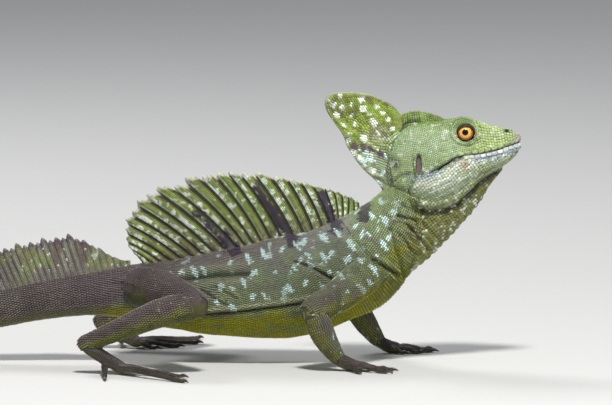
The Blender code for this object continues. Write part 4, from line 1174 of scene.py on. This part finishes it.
headLine = (
    (57.0, 0, 93.5), (70.0, 0, 96.0), (85.0, 0, 99.0), (100.0, 0, 101.5), (112.0, 0, 103.6),
    (117.6, 0, 104.2),
)
jawLine = (
    (118.3, 0, 103.1), (106.0, 0, 94.2), (93.0, 0, 84.7), (80.0, 0, 75.3), (65.0, 0, 64.4), (50.0, 0, 53.5),
)
headCoat, snoutCoat, jawCoat = gather(), gather(), gather()
ringScales(headCoat, headLine, 0.86, 0.88, 170, ["head", "throat"], 0.21, stretch=1.15, backwards=False,
           skip=lambda spot: spot[0] < 56.4 or belowMouth(spot) or onSnout(spot) or clearOfFace(spot))
ringScales(snoutCoat, headLine, 1.25, 1.30, 150, ["head"], 0.26, stretch=1.12, backwards=False,
           skip=lambda spot: not onSnout(spot) or clearOfFace(spot))
ringScales(jawCoat, jawLine, 1.36, 1.36, 150, ["head", "throat"], 0.34, stretch=1.24, frontLimit=0.93,
           backwards=False, skip=lambda spot: not belowMouth(spot) or clearOfFace(spot))
for row, height in enumerate(np.arange(84, 113, 1.15)):
    for column, across in enumerate(np.arange(-10, 10, 1.15)):
        found = hitBy((135.0, across + 0.57 * (row % 2), height), (-1, 0, 0), 60.0)
        onFront = found and found[1][0] >= 0.80 and within(found[2], "head", "throat")
        if not onFront or clearOfFace(found[0]):
            continue
        uv = (0.3 + column * 0.004, 0.3 + row * 0.004)
        addScale(snoutCoat, found[0], found[1], (0.3, 0, 1), (1.3, 1.3, 0.26), uv, found[2])
scaleCoat("scales_head", smallBead, coloured(headCoat), materials["scale"], "skin", edge=0.38)
scaleCoat("scales_snout", largeBead, coloured(snoutCoat), materials["plate"], "skin", edge=0.62)
scaleCoat("scales_jaw", largeBead, coloured(jawCoat), materials["scale"], "throat_skin", edge=0.36)


# plates of the lips, and the small beads round the eyes and ears

faceValues = {
    "lipPlates": 11, "lipLength": 27.5, "lipEnd": 8.2,
    "lipRows": ((1.10, 1.6), (-1.20, 1.7), (-2.75, 1.4)),  # how far above the mouth, and how tall
    "eyeRings": ((4.25, 0.72), (4.95, 0.84), (5.75, 1.0)),  # radius and size of the beads
    "earBeads": 26,
}


def onSide(x, height, side):
    # the skin's place under a mark that is given as seen from the side
    lateral = 8.0
    for _ in range(4):
        z = (height + viewTilt[1] * lateral) / viewTilt[0]
        found = hitBy((x, side * 60.0, z), (0, -side, 0), 80.0)
        if found is None:
            return None
        lateral = abs(found[0][1])
    return found


def addOnSide(data, x, height, side, forward, size, uv):
    found = onSide(x, height, side)
    if found is not None:
        addScale(data, found[0], found[1], forward, size, (uv[0], uv[1] + (0.5 if side > 0 else 0)), found[2])


plates = gather()
mouth = np.array(marks["mouth"])
for side in (1, -1):
    for row, (offset, tall) in enumerate(faceValues["lipRows"]):
        count = faceValues["lipPlates"] + row * 2
        for k in range(count):
            at = (k + 0.5) / count * faceValues["lipEnd"]
            here = smoothPath(mouth, at)[0]
            ahead = unit(smoothPath(mouth, at + 0.1)[0] - here)
            x, height = here + np.array((-ahead[1], ahead[0])) * -offset
            length = faceValues["lipLength"] / count * (1.15 - 0.25 * k / count)
            addOnSide(plates, x, height, side, (ahead[0], 0, ahead[1]), (length * 1.10, tall, 0.14),
                      (0.05 + 0.06 * k, 0.1 + 0.2 * row))
scaleCoat("lip_plates", plateShape, coloured(plates), materials["plate"], "skin", edge=1.0)

beads = gather()
for side in (1, -1):
    for ring, (growth, size) in enumerate(faceValues["eyeRings"]):
        count = int(2 * math.pi * growth / size * 0.98)
        for k in range(count):
            turn = 2 * math.pi * (k + 0.5 * (ring % 2)) / count
            cos, sin = math.cos(turn), math.sin(turn)
            addOnSide(beads, eyeSpot[0] + cos * growth * 1.12, eyeSpot[1] + sin * growth * 0.98, side,
                      (-sin, 0, cos), (size, size * 0.95, 0.34), (0.1 + 0.8 * k / count, 0.1 + ring * 0.1))
    for k in range(faceValues["earBeads"]):
        turn = 2 * math.pi * k / faceValues["earBeads"]
        cos, sin = math.cos(turn), math.sin(turn)
        addOnSide(beads, earSpot[0] + cos * 1.9, earSpot[1] + sin * 5.3, side,
                  (-sin, 0, cos), (1.15, 0.8, 0.36), (0.1 + 0.8 * k / faceValues["earBeads"], 0.42))
scaleCoat("face_beads", largeBead, coloured(beads), materials["plate"], "skin")


def outwardFaces(mesh, merge=False):
    work = bmesh.new()
    work.from_mesh(mesh)
    if merge:
        bmesh.ops.remove_doubles(work, verts=work.verts, dist=1e-7)
    bmesh.ops.recalc_face_normals(work, faces=work.faces)
    work.to_mesh(mesh)
    work.free()
    return mesh


# eyes

eyeValues = {
    "place": (92.0, 7.2, 108.8), "axis": (-0.05, 1.0, 0.19), "radius": 4.9, "iris": 3.6, "pupil": 1.55,
    "bulge": 0.30, "bulgeWidth": 2.6, "rows": 44, "columns": 64,
}


def makeEye(label, side):
    # a ball with its axis outwards and a little up; the front is bowed out over the iris
    radius, iris, pupil = eyeValues["radius"], eyeValues["iris"], eyeValues["pupil"]
    rows, columns = eyeValues["rows"], eyeValues["columns"]
    axis = unit(np.array(eyeValues["axis"]) * (1, side, 1))
    across = unit(np.cross(axis, (0, 0, 1)))
    above = np.cross(across, axis)
    # from the outside in: where a zone ends, its colour, and how the fibres shade it
    zones = (
        # the dark ring round the iris is the eye's dark rim and also painted shadow of the upper lid
        (iris + 0.8, (0.17, 0.09, 0.08), 1, 0), (iris, (0.02, 0.012, 0.01), 1, 0),
        (iris - 0.7, (0.34, 0.12, 0.025), 0.7, 0.4), (pupil + 0.35, (0.78, 0.40, 0.085), 0.75, 0.4),
        (pupil, (0.95, 0.58, 0.12), 0.85, 0.2), (-1, (0.002, 0.002, 0.002), 1, 0),
    )
    points, tones, faces = [], [], []
    for r in range(rows + 1):
        polar = math.pi * r / rows
        out, forward = math.sin(polar) * radius, math.cos(polar) * radius
        if forward > 0:
            forward += eyeValues["bulge"] * math.exp(-((out / eyeValues["bulgeWidth"]) ** 2))
        _, colour, base, gain = next(zone for zone in zones if forward <= 0 or out > zone[0])
        for c in range(columns):
            turn = 2 * math.pi * c / columns
            round = across * math.cos(turn) * out + above * math.sin(turn) * out
            points.append(np.array(eyeValues["place"]) * (1, side, 1) + round + axis * forward)
            fibre = 0.5 + 0.5 * math.sin(turn * 23 + 2 * math.sin(turn * 7))
            tones.append(np.array(colour) * (base + gain * fibre))
            if r < rows:
                n = (c + 1) % columns
                faces.append((r * columns + c, (r + 1) * columns + c, (r + 1) * columns + n, r * columns + n))
    mesh = meshOf("eye_" + label, np.array(points), faces, np.array(tones))
    place(f"eye_{label}_ball", outwardFaces(mesh, True), materials["eye"], "eye", "eye_" + label)


makeEye("left", 1)
makeEye("right", -1)
print("face made")


# fins: the two lobes on the head, the sail and the fins of the tail
# the form of a fin is its root line, edge line, sideways direction, half thickness and colour

def finPiece(name, form, rows, nodes, uCount):
    # a closed sheet of varying thickness between a root line and an edge line
    roots, edges, sides, halfAt, toneAt = form
    u, v = gridOf((0, 1), uCount, (0, 1), rows)
    middle = between(roots, edges, u, v)
    half = sides(u) * halfAt(u, v, middle)[:, None]
    tones = np.concatenate((toneAt(u, v, middle),) * 2)
    mesh = meshOf(name, np.concatenate((middle + half, middle - half)), gridFaces(uCount, rows), tones)
    place(name, outwardFaces(mesh), materials["crest"], "crest_skin", *nodes)


def finScales(name, form, spots, size):
    # beads on both faces of a fin at u, v places
    roots, edges, sides, halfAt, toneAt = form
    u, v = np.array(spots).T
    data = gather("tone")

    def surface(u, v, sign):
        middle = between(roots, edges, u, v)
        return middle + sides(u) * (halfAt(u, v, middle) * sign)[:, None], middle

    for sign in (1, -1):
        here, middle = surface(u, v, sign)
        alongU = surface(np.minimum(u + 0.002, 1), v, sign)[0] - here
        alongV = surface(u, np.minimum(v + 0.01, 1), sign)[0] - here
        normal = unit(np.cross(alongU, alongV))
        normal *= np.sign((normal * sides(u)).sum(1) * sign)[:, None]
        tones = toneAt(u, v, middle) * (0.92 + 0.24 * dice.random(len(u)))[:, None]
        sizes = np.broadcast_to(size, (len(u), 3)) * (0.85 + 0.3 * dice.random(len(u)))[:, None]
        uv = np.stack((0.02 + 0.96 * u, (0.02 if sign > 0 else 0.51) + 0.46 * v), 1)
        addScale(data, here, normal, -alongV, sizes, uv, tones)
    data = {key: np.concatenate(value) for key, value in data.items()}
    scaleCoat(name, finBead, data, materials["scale"], "crest_skin")


def lobeScales(lobeName):
    # beads on both faces of a lobe, set on the skin where it stands out past the lobe's own sheet
    roots, edges, half = lobeParts(lobeName)
    isMain = lobeName == "main"
    places = []
    for row, v in enumerate(np.arange(0.0, 0.975, 0.032) if isMain else np.arange(0.2, 0.975, 0.095)):
        t = np.linspace(0, 1, 60)
        ring = roots(t) * (1 - v) + edges(t, v) * v
        count = int(walkedAlong(ring)[-1] / 1.1)
        starts = ((k + 0.5 * (row % 2) + 0.2) / count for k in range(count))
        places += [(u, v) for u in starts if u < 0.99]
    u, v = np.array(places).T
    middle = between(roots, edges, u, v)
    width = half(u, v, middle)
    reach = edges(u, v) - roots(u)
    toEdge = unit(reach)
    along = np.clip(np.linalg.norm(reach, axis=1) * 0.036, 0.85, 1.7) if isMain else np.full(len(u), 1.2)
    tones = lobeTone(u, v, middle) * (0.88 + 0.3 * dice.random(len(u)))[:, None]
    data = gather("tone")
    for side in (1, -1):
        for k in range(len(u)):
            x, z = middle[k, 0], middle[k, 2]
            spot, normal, tone = middle[k] + (0, side * width[k], 0), np.array((0, side * 1.0, 0)), tones[k]
            found = hitBy((x, side * 40.0, z), (0, -side, 0), 60.0)
            if found and side * found[0][1] > width[k]:
                onHead = found[2] == regionOf["head"]
                if not onHead and found[2] < len(fleshNodes) or onHead and (not isMain or x > 56.8):
                    continue
                spot, normal = found[:2]
                tone = paint(spot[None], normal[None], np.array(found[2:]))[0] * (0.9 + 0.24 * dice.random())
            size = 1.0 + 0.25 * (dice.random() - 0.5)
            uv = (0.02 + 0.96 * u[k], (0.02 if side > 0 else 0.51) + 0.46 * v[k])
            addScale(data, spot, normal, -toEdge[k], (along[k] * size, 1.06 * size, 0.25), uv, tone)
    scaleCoat(f"scales_crest_{lobeName}", smallBead, data, materials["scale"], "crest_skin")


for lobeName, values in lobeValues.items():
    roots, edges, half = lobeParts(lobeName)
    finPiece(f"crest_head_{lobeName}_fin", (roots, edges, level, half, lobeTone), values["rows"],
             values["nodes"], values["count"])
    lobeScales(lobeName)

sailValues = {"bands": 25, "thin": 0.20, "relief": 1.25, "root": 2.1, "sink": 3.2, "count": 301, "rows": 44}
sailTips = (
    (1.95, 41.8, 75.4), (2.30, 38.3, 77.8), (2.65, 33.4, 80.2), (3.00, 27.0, 82.4), (3.40, 18.4, 84.6),
    (3.92, 8.6, 87.3), (4.40, -3.3, 88.9), (4.94, -14.4, 89.6), (5.42, -23.6, 90.2), (5.80, -34.8, 88.0),
    (6.18, -45.0, 84.4), (6.68, -55.2, 80.4), (7.18, -62.4, 75.2), (7.62, -67.0, 68.6), (8.04, -68.0, 61.6),
    (8.42, -66.6, 55.2), (8.70, -62.6, 50.6),
)
tipHeights = 0.945 + 0.075 * dice.random(sailValues["bands"] + 1)


def bandOf(u):
    # which band of the sail, and how far across it
    band = u * sailValues["bands"]
    return np.floor(band), band - np.floor(band)


def sailColumn(u):
    # the back's surface, the sail's tip and the root sunk under the surface
    found = smoothPath(sailTips, u * (len(sailTips) - 1))
    centre, *_, above = spineFrame(found[:, 0])
    surface, tip = centre[:, :3] + above * centre[:, 3:4], inPlane(found[:, 1:3])
    return surface, tip, surface - unit(tip - surface) * sailValues["sink"]


def sailRoots(u):
    return sailColumn(u)[2]


def sailEdges(u, v):
    surface, tip, _ = sailColumn(u)
    index, frac = bandOf(u)
    high = tipHeights[np.minimum(index.astype(int), sailValues["bands"])]
    across = np.where(frac < 0.65, frac / 0.65, (1 - frac) / 0.35)
    shape = high + 0.065 * (1 - np.abs(across - 1) ** 1.1) - 0.05
    shape = shape + 0.045 * (cloud(np.stack((u * 400, u * 0, u * 0), 1), 1.0, 74) - 0.5)
    tip = surface + (tip - surface) * shape[:, None]
    reach = tip - (surface - unit(tip - surface) * sailValues["sink"])
    bow = np.stack((reach[:, 2], reach[:, 1] * 0, -reach[:, 0]), 1) * 0.035
    return tip + bow * (4 * (1 - v))[:, None]


def sailHalf(u, v, middle):
    ridge = sailValues["relief"] * np.sin(math.pi * bandOf(u)[1]) ** 1.1
    body = sailValues["thin"] + ridge * (1 - 0.45 * v) + sailValues["root"] * (1 - v) ** 5
    return body * rounded(v, 0.95, 0.04) * soft(-0.005, 0.01, u) * soft(1.005, 0.99, u) + 0.05


def sailTone(u, v, middle):
    x, z = middle[:, 0], middle[:, 2]
    index, frac = bandOf(u)
    wander, fine, ragged = clouds(middle, (5.0, 71), (1.3, 72), (0.9, 75))
    beat = v * 6.5 + index * 0.37 + wander * 1.4
    spot = np.hypot((beat - np.floor(beat) - 0.5) * 3.2, (frac - 0.66) * 5.2)
    kept = np.sin(np.floor(beat) * 12.9 + index * 78.2) * 0.5 + 0.5 > 0.30
    tones = layered(
        plain("sail", middle),
        (soft(0.5, 0.8, cloud(middle, 9.0, 73)) * 0.5, "crest"),
        (soft(0.40, 0.05, v) * 0.6, "back"),
        (soft(0.55, 0.1, v) * soft(0.55, 0.9, u) * 0.7, "brown"),
        (soft(0.30, 0.42, frac + ragged * 0.2) * soft(0.55, 0.48, frac) * 0.4, "crest"),
        # painted highlight on the lit face of each pleat, and painted shade on its other face
        (bell(frac - 0.78, 0.05) * 0.9 * soft(0.12, 0.5, v + wander * 0.4), "crestPale"),
        (soft(0.34, 0.16, frac) * 0.7, "brown"),
        (bell(frac - 0.60, 0.05) * 0.35, "crestDeep"),
        (soft(1.20, 0.75, spot + ragged * 1.0) * kept * 0.95 * soft(0.10, 0.35, v), "white"),
        (soft(0.84, 0.88, cloud(middle, 1.6, 76)) * 0.6, "white"),
        (soft(0.5, 0.85, cloud(middle, 7.0, 77)) * soft(0.6, 1.0, u) * 0.55, "brown"),
    )
    solid = 1 - 0.6 * (soft(0.55, 0.75, cloud(middle, 1.1, 78)) * soft(5, -20, x))
    for line in barLines:
        edge = nearLine(x, z, line)[0] + ragged * 2.4 + wander * 1.5
        tones = layered(tones, (soft(2.5, 2.0, edge) * 0.95 * solid * soft(0.99, 0.9, v), "bar"))
    scatter = soft(0.70, 0.80, cloud(middle * (1.3, 1, 0.7), 1.2, 79)) * soft(0.45, 0.2, v)
    tones = layered(
        tones,
        (scatter * 0.6, "purple"),
        # painted shade in the grooves between the pleats
        (soft(0.31, 0.43, np.abs(frac - 0.5)) * 0.95, "paintedGrooveShade"),
        (soft(0.945, 0.975, v + ragged * 0.03) * 0.75, "edge"),
    )
    return tones * (1 + 0.25 * wander + 0.3 * fine)[:, None]


sailForm = (sailRoots, sailEdges, level, sailHalf, sailTone)
finPiece("sail", sailForm, sailValues["rows"], ("crest_back",), sailValues["count"])
spots = np.array([
    ((band + (order + 0.5) / 7) / sailValues["bands"], row + 0.0098 * (order % 2))
    for band in range(sailValues["bands"]) for order in range(7) for row in np.arange(0.09, 0.965, 0.0195)
])
sailSizes = np.stack((np.full(len(spots), 0.98), 0.62 + 0.36 * spots[:, 1], np.full(len(spots), 0.15)), 1)
finScales("scales_sail", sailForm, spots, sailSizes)

tailFin = {
    "start": 8.95, "height": 17.4, "rise": 24.0, "level": 95.0, "length": 236.0, "rayGap": 2.8, "lean": 0.24,
    "sink": 2.2, "bead": 0.93, "rows": 22,
}
tailStations = evenStations(spineLine, tailFin["start"], lastStation, 0.5)
tailWalked = np.arange(len(tailStations)) * 0.5


def tailColumn(u):
    walked = u * tailFin["length"]
    centre, forward, side, above = spineFrame(np.interp(walked, tailWalked, tailStations))
    surface = centre[:, :3] + above * centre[:, 3:4]
    rise = soft(0, 1, walked / tailFin["rise"])
    fall = 1 - soft(0, 1, (walked - tailFin["level"]) / (tailFin["length"] - tailFin["level"]))
    height = 2.0 + tailFin["height"] * rise * (0.1 + 0.9 * fall)
    height = height * (0.15 + 0.85 * soft(tailFin["length"], tailFin["length"] - 30, walked))
    return surface, height, forward, side, above


def rayOf(u):
    # how many rays along, and how far from one ray to the next
    ray = u * tailFin["length"] / tailFin["rayGap"]
    return ray, ray - np.floor(ray)


def tailRoots(u):
    surface, *_, above = tailColumn(u)
    return surface - above * tailFin["sink"]


def tailEdges(u, v):
    surface, height, forward, _, above = tailColumn(u)
    ray = rayOf(u)[0]
    nearest = np.round(ray)
    reach = np.where(nearest % 2 == 1, 0.91, np.where(nearest % 4 == 2, 0.955, 1.0))
    height = height * (reach * (1 - 0.11 * np.abs(ray - nearest) ** 1.2 * 2))
    return surface + above * height[:, None] + forward * (height * tailFin["lean"])[:, None]


def tailSides(u):
    return tailColumn(u)[3]


def tailHalf(u, v, middle):
    ridge = np.abs(np.cos(math.pi * rayOf(u)[1])) ** 0.8
    body = 0.26 + 0.5 * ridge * (1 - 0.5 * v) + 1.5 * (1 - v) ** 4
    return body * rounded(v, 0.93, 0.05) * soft(-0.005, 0.01, u) + 0.05


def tailTone(u, v, middle):
    wander, fine, ragged = clouds(middle, (5.0, 81), (1.4, 82), (0.9, 84))
    walked, frac = u * tailFin["length"], rayOf(u)[1]
    fromRay = np.minimum(frac, 1 - frac)
    band = 0.5 + 0.5 * np.sin(walked * 2 * math.pi / tailBandLength + wander * 2)
    flecks = cloud(middle * (1, 1, 0.55), 1.4, 83) + ragged * 0.1
    streaks = cloud(middle * (1, 1, 0.4), 4.0, 85)
    tones = layered(
        plain("lilac", middle),
        (soft(0.30, 0.05, fromRay) * soft(0.30, 0.55, streaks) * 0.75, "crestPale"),
        (soft(0.45, 0.65, cloud(middle, 6.0, 86)) * 0.5, "sail"),
        (soft(0.5, 0.85, band) * soft(30, 70, walked) * 0.45, "bar"),
        # painted shade in the grooves between the rays
        (soft(0.34, 0.47, fromRay) * 0.55, "paintedGrooveShade"),
        (soft(0.40, 0.10, v) * 0.5, "back"),
        (soft(0.80, 0.85, flecks) * soft(0.2, 0.4, v) * 0.75, "white"),
        (soft(0.82, 0.95, v + ragged * 0.1) * 0.55, "purple"),
    )
    return tones * (1 + 0.25 * wander + 0.25 * fine)[:, None]


tailForm = (tailRoots, tailEdges, tailSides, tailHalf, tailTone)
tailRays = int(tailFin["length"] / tailFin["rayGap"])
finPiece("tail_fin", tailForm, tailFin["rows"], ("crest_tail_1", "crest_tail_2"), tailRays * 8 + 1)
spots = []
for k in range(int(tailFin["length"] / tailFin["bead"])):
    u = (k + 0.5) * tailFin["bead"] / tailFin["length"]
    height = float(tailColumn(np.array([u]))[1][0]) + tailFin["sink"]
    count = int(height / tailFin["bead"])
    rows = (row for row in range(1, count) if (row + 0.75) / count < 0.95)
    spots += [(u, (row + 0.25 + 0.5 * (k % 2)) / count) for row in rows]
finScales("scales_tail_fin", tailForm, spots, (1.05, 0.88, 0.17))
print("fins made")


# claws

def clawMesh():
    # every claw as a curved, tapering horn, joined into one piece
    points, faces, tones = [], [], []
    sides, steps = 10, 12
    for name in ("hand_left", "hand_right", "foot_left", "foot_right"):
        for _, claw in digitLines(name):
            rows = smoothPath(claw, np.linspace(0, len(claw) - 1, steps))
            ahead = unit(np.gradient(rows[:, :3], axis=0))
            side = unit(np.cross((0, 0, 1), ahead))
            above = np.cross(ahead, side)
            base = len(points)
            for r in range(steps):
                shade = 0.55 + 0.45 * r / steps
                for s in range(sides):
                    turn, radius = 2 * math.pi * s / sides, rows[r, 3]
                    spot = rows[r, :3] + side[r] * math.cos(turn) * radius * 0.86
                    spot = spot + above[r] * math.sin(turn) * radius * 1.1
                    points.append((spot[0], spot[1], max(spot[2], 0.03)))
                    tones.append(np.array(clawTone) * shade)
            for r in range(steps - 1):
                for s in range(sides):
                    n = (s + 1) % sides
                    i = base + r * sides
                    faces += [(i + s, i + n, i + sides + n), (i + s, i + sides + n, i + sides + s)]
            for start, order in ((base, (0, 2, 1)), (base + (steps - 1) * sides, (0, 1, 2))):
                for s in range(1, sides - 1):
                    fan = (start, start + s, start + s + 1)
                    faces.append([fan[k] for k in order])
    return np.array(points), np.array(faces), np.array(tones)


points, faces, tones = clawMesh()
place("claws", meshOf("claws", points, faces, tones), materials["claw"], "claw")
print("claws made")


# floor, lights and camera

stageValues = {
    "floor": (0.56, 0.56, 0.55), "distance": 6.0, "pixel": 0.00047, "tilt": math.radians(6),
    "snoutColumn": 521.0, "floorRow": 362.0, "frameWidth": 612, "frameHeight": 405,
}

floorMesh = bpy.data.meshes.new("floor")
floorMesh.from_pydata([(-30, -30, 0), (30, -30, 0), (30, 30, 0), (-30, 30, 0)], [], [(0, 1, 2, 3)])
floor = linked("floor", floorMesh)
floorMaterial = bpy.data.materials.new("floor_paint")
floorMaterial.use_nodes = True
floorShader = floorMaterial.node_tree.nodes["Principled BSDF"]
floorShader.inputs["Base Color"].default_value = (*stageValues["floor"], 1)
floorShader.inputs["Roughness"].default_value = 0.85
floorMesh.materials.append(floorMaterial)

world = bpy.data.worlds.new("studio")
world.use_nodes = True
world.node_tree.nodes["Background"].inputs["Color"].default_value = (0.88, 0.92, 1.0, 1)
world.node_tree.nodes["Background"].inputs["Strength"].default_value = 0.31
scene.world = world
scene.view_settings.view_transform = "Standard"


def softLight(name, spot, target, size, power, colour=(1, 1, 1)):
    light = bpy.data.lights.new(name, "AREA")
    light.shape = "DISK"
    light.size = size
    light.energy = power
    light.color = colour
    made = linked(name, light)
    made.location = spot
    made.rotation_euler = (Vector(target) - Vector(spot)).to_track_quat("-Z", "Y").to_euler()


middle = Vector((shift[0] * 0.001, shift[1] * 0.001, 0.06))
softLight("key", middle + Vector((0.10, -0.80, 1.42)), middle, 0.24, 32, (1.0, 0.98, 0.95))
softLight("fill", middle + Vector((1.1, -1.0, 0.5)), middle, 0.9, 4, (0.94, 0.97, 1.0))
softLight("rim", middle + Vector((-0.5, 1.0, 1.1)), middle, 0.5, 10)

cos, sin = math.cos(stageValues["tilt"]), math.sin(stageValues["tilt"])
lookAt = Vector((
    headHigh.x - (stageValues["snoutColumn"] - stageValues["frameWidth"] / 2) * stageValues["pixel"],
    (headLow.y + headHigh.y) / 2,
    (stageValues["floorRow"] - stageValues["frameHeight"] / 2) * stageValues["pixel"] / cos,
))
cameraData = bpy.data.cameras.new("camera")
cameraData.sensor_width = 36
cameraData.lens = 36 * stageValues["distance"] / (stageValues["frameWidth"] * stageValues["pixel"])
cameraData.clip_end = 100
camera = linked("camera", cameraData)
camera.location = lookAt + Vector((0, -cos, sin)) * stageValues["distance"]
camera.rotation_euler = (math.pi / 2 - stageValues["tilt"], 0, 0)
scene.camera = camera
print("stage set")
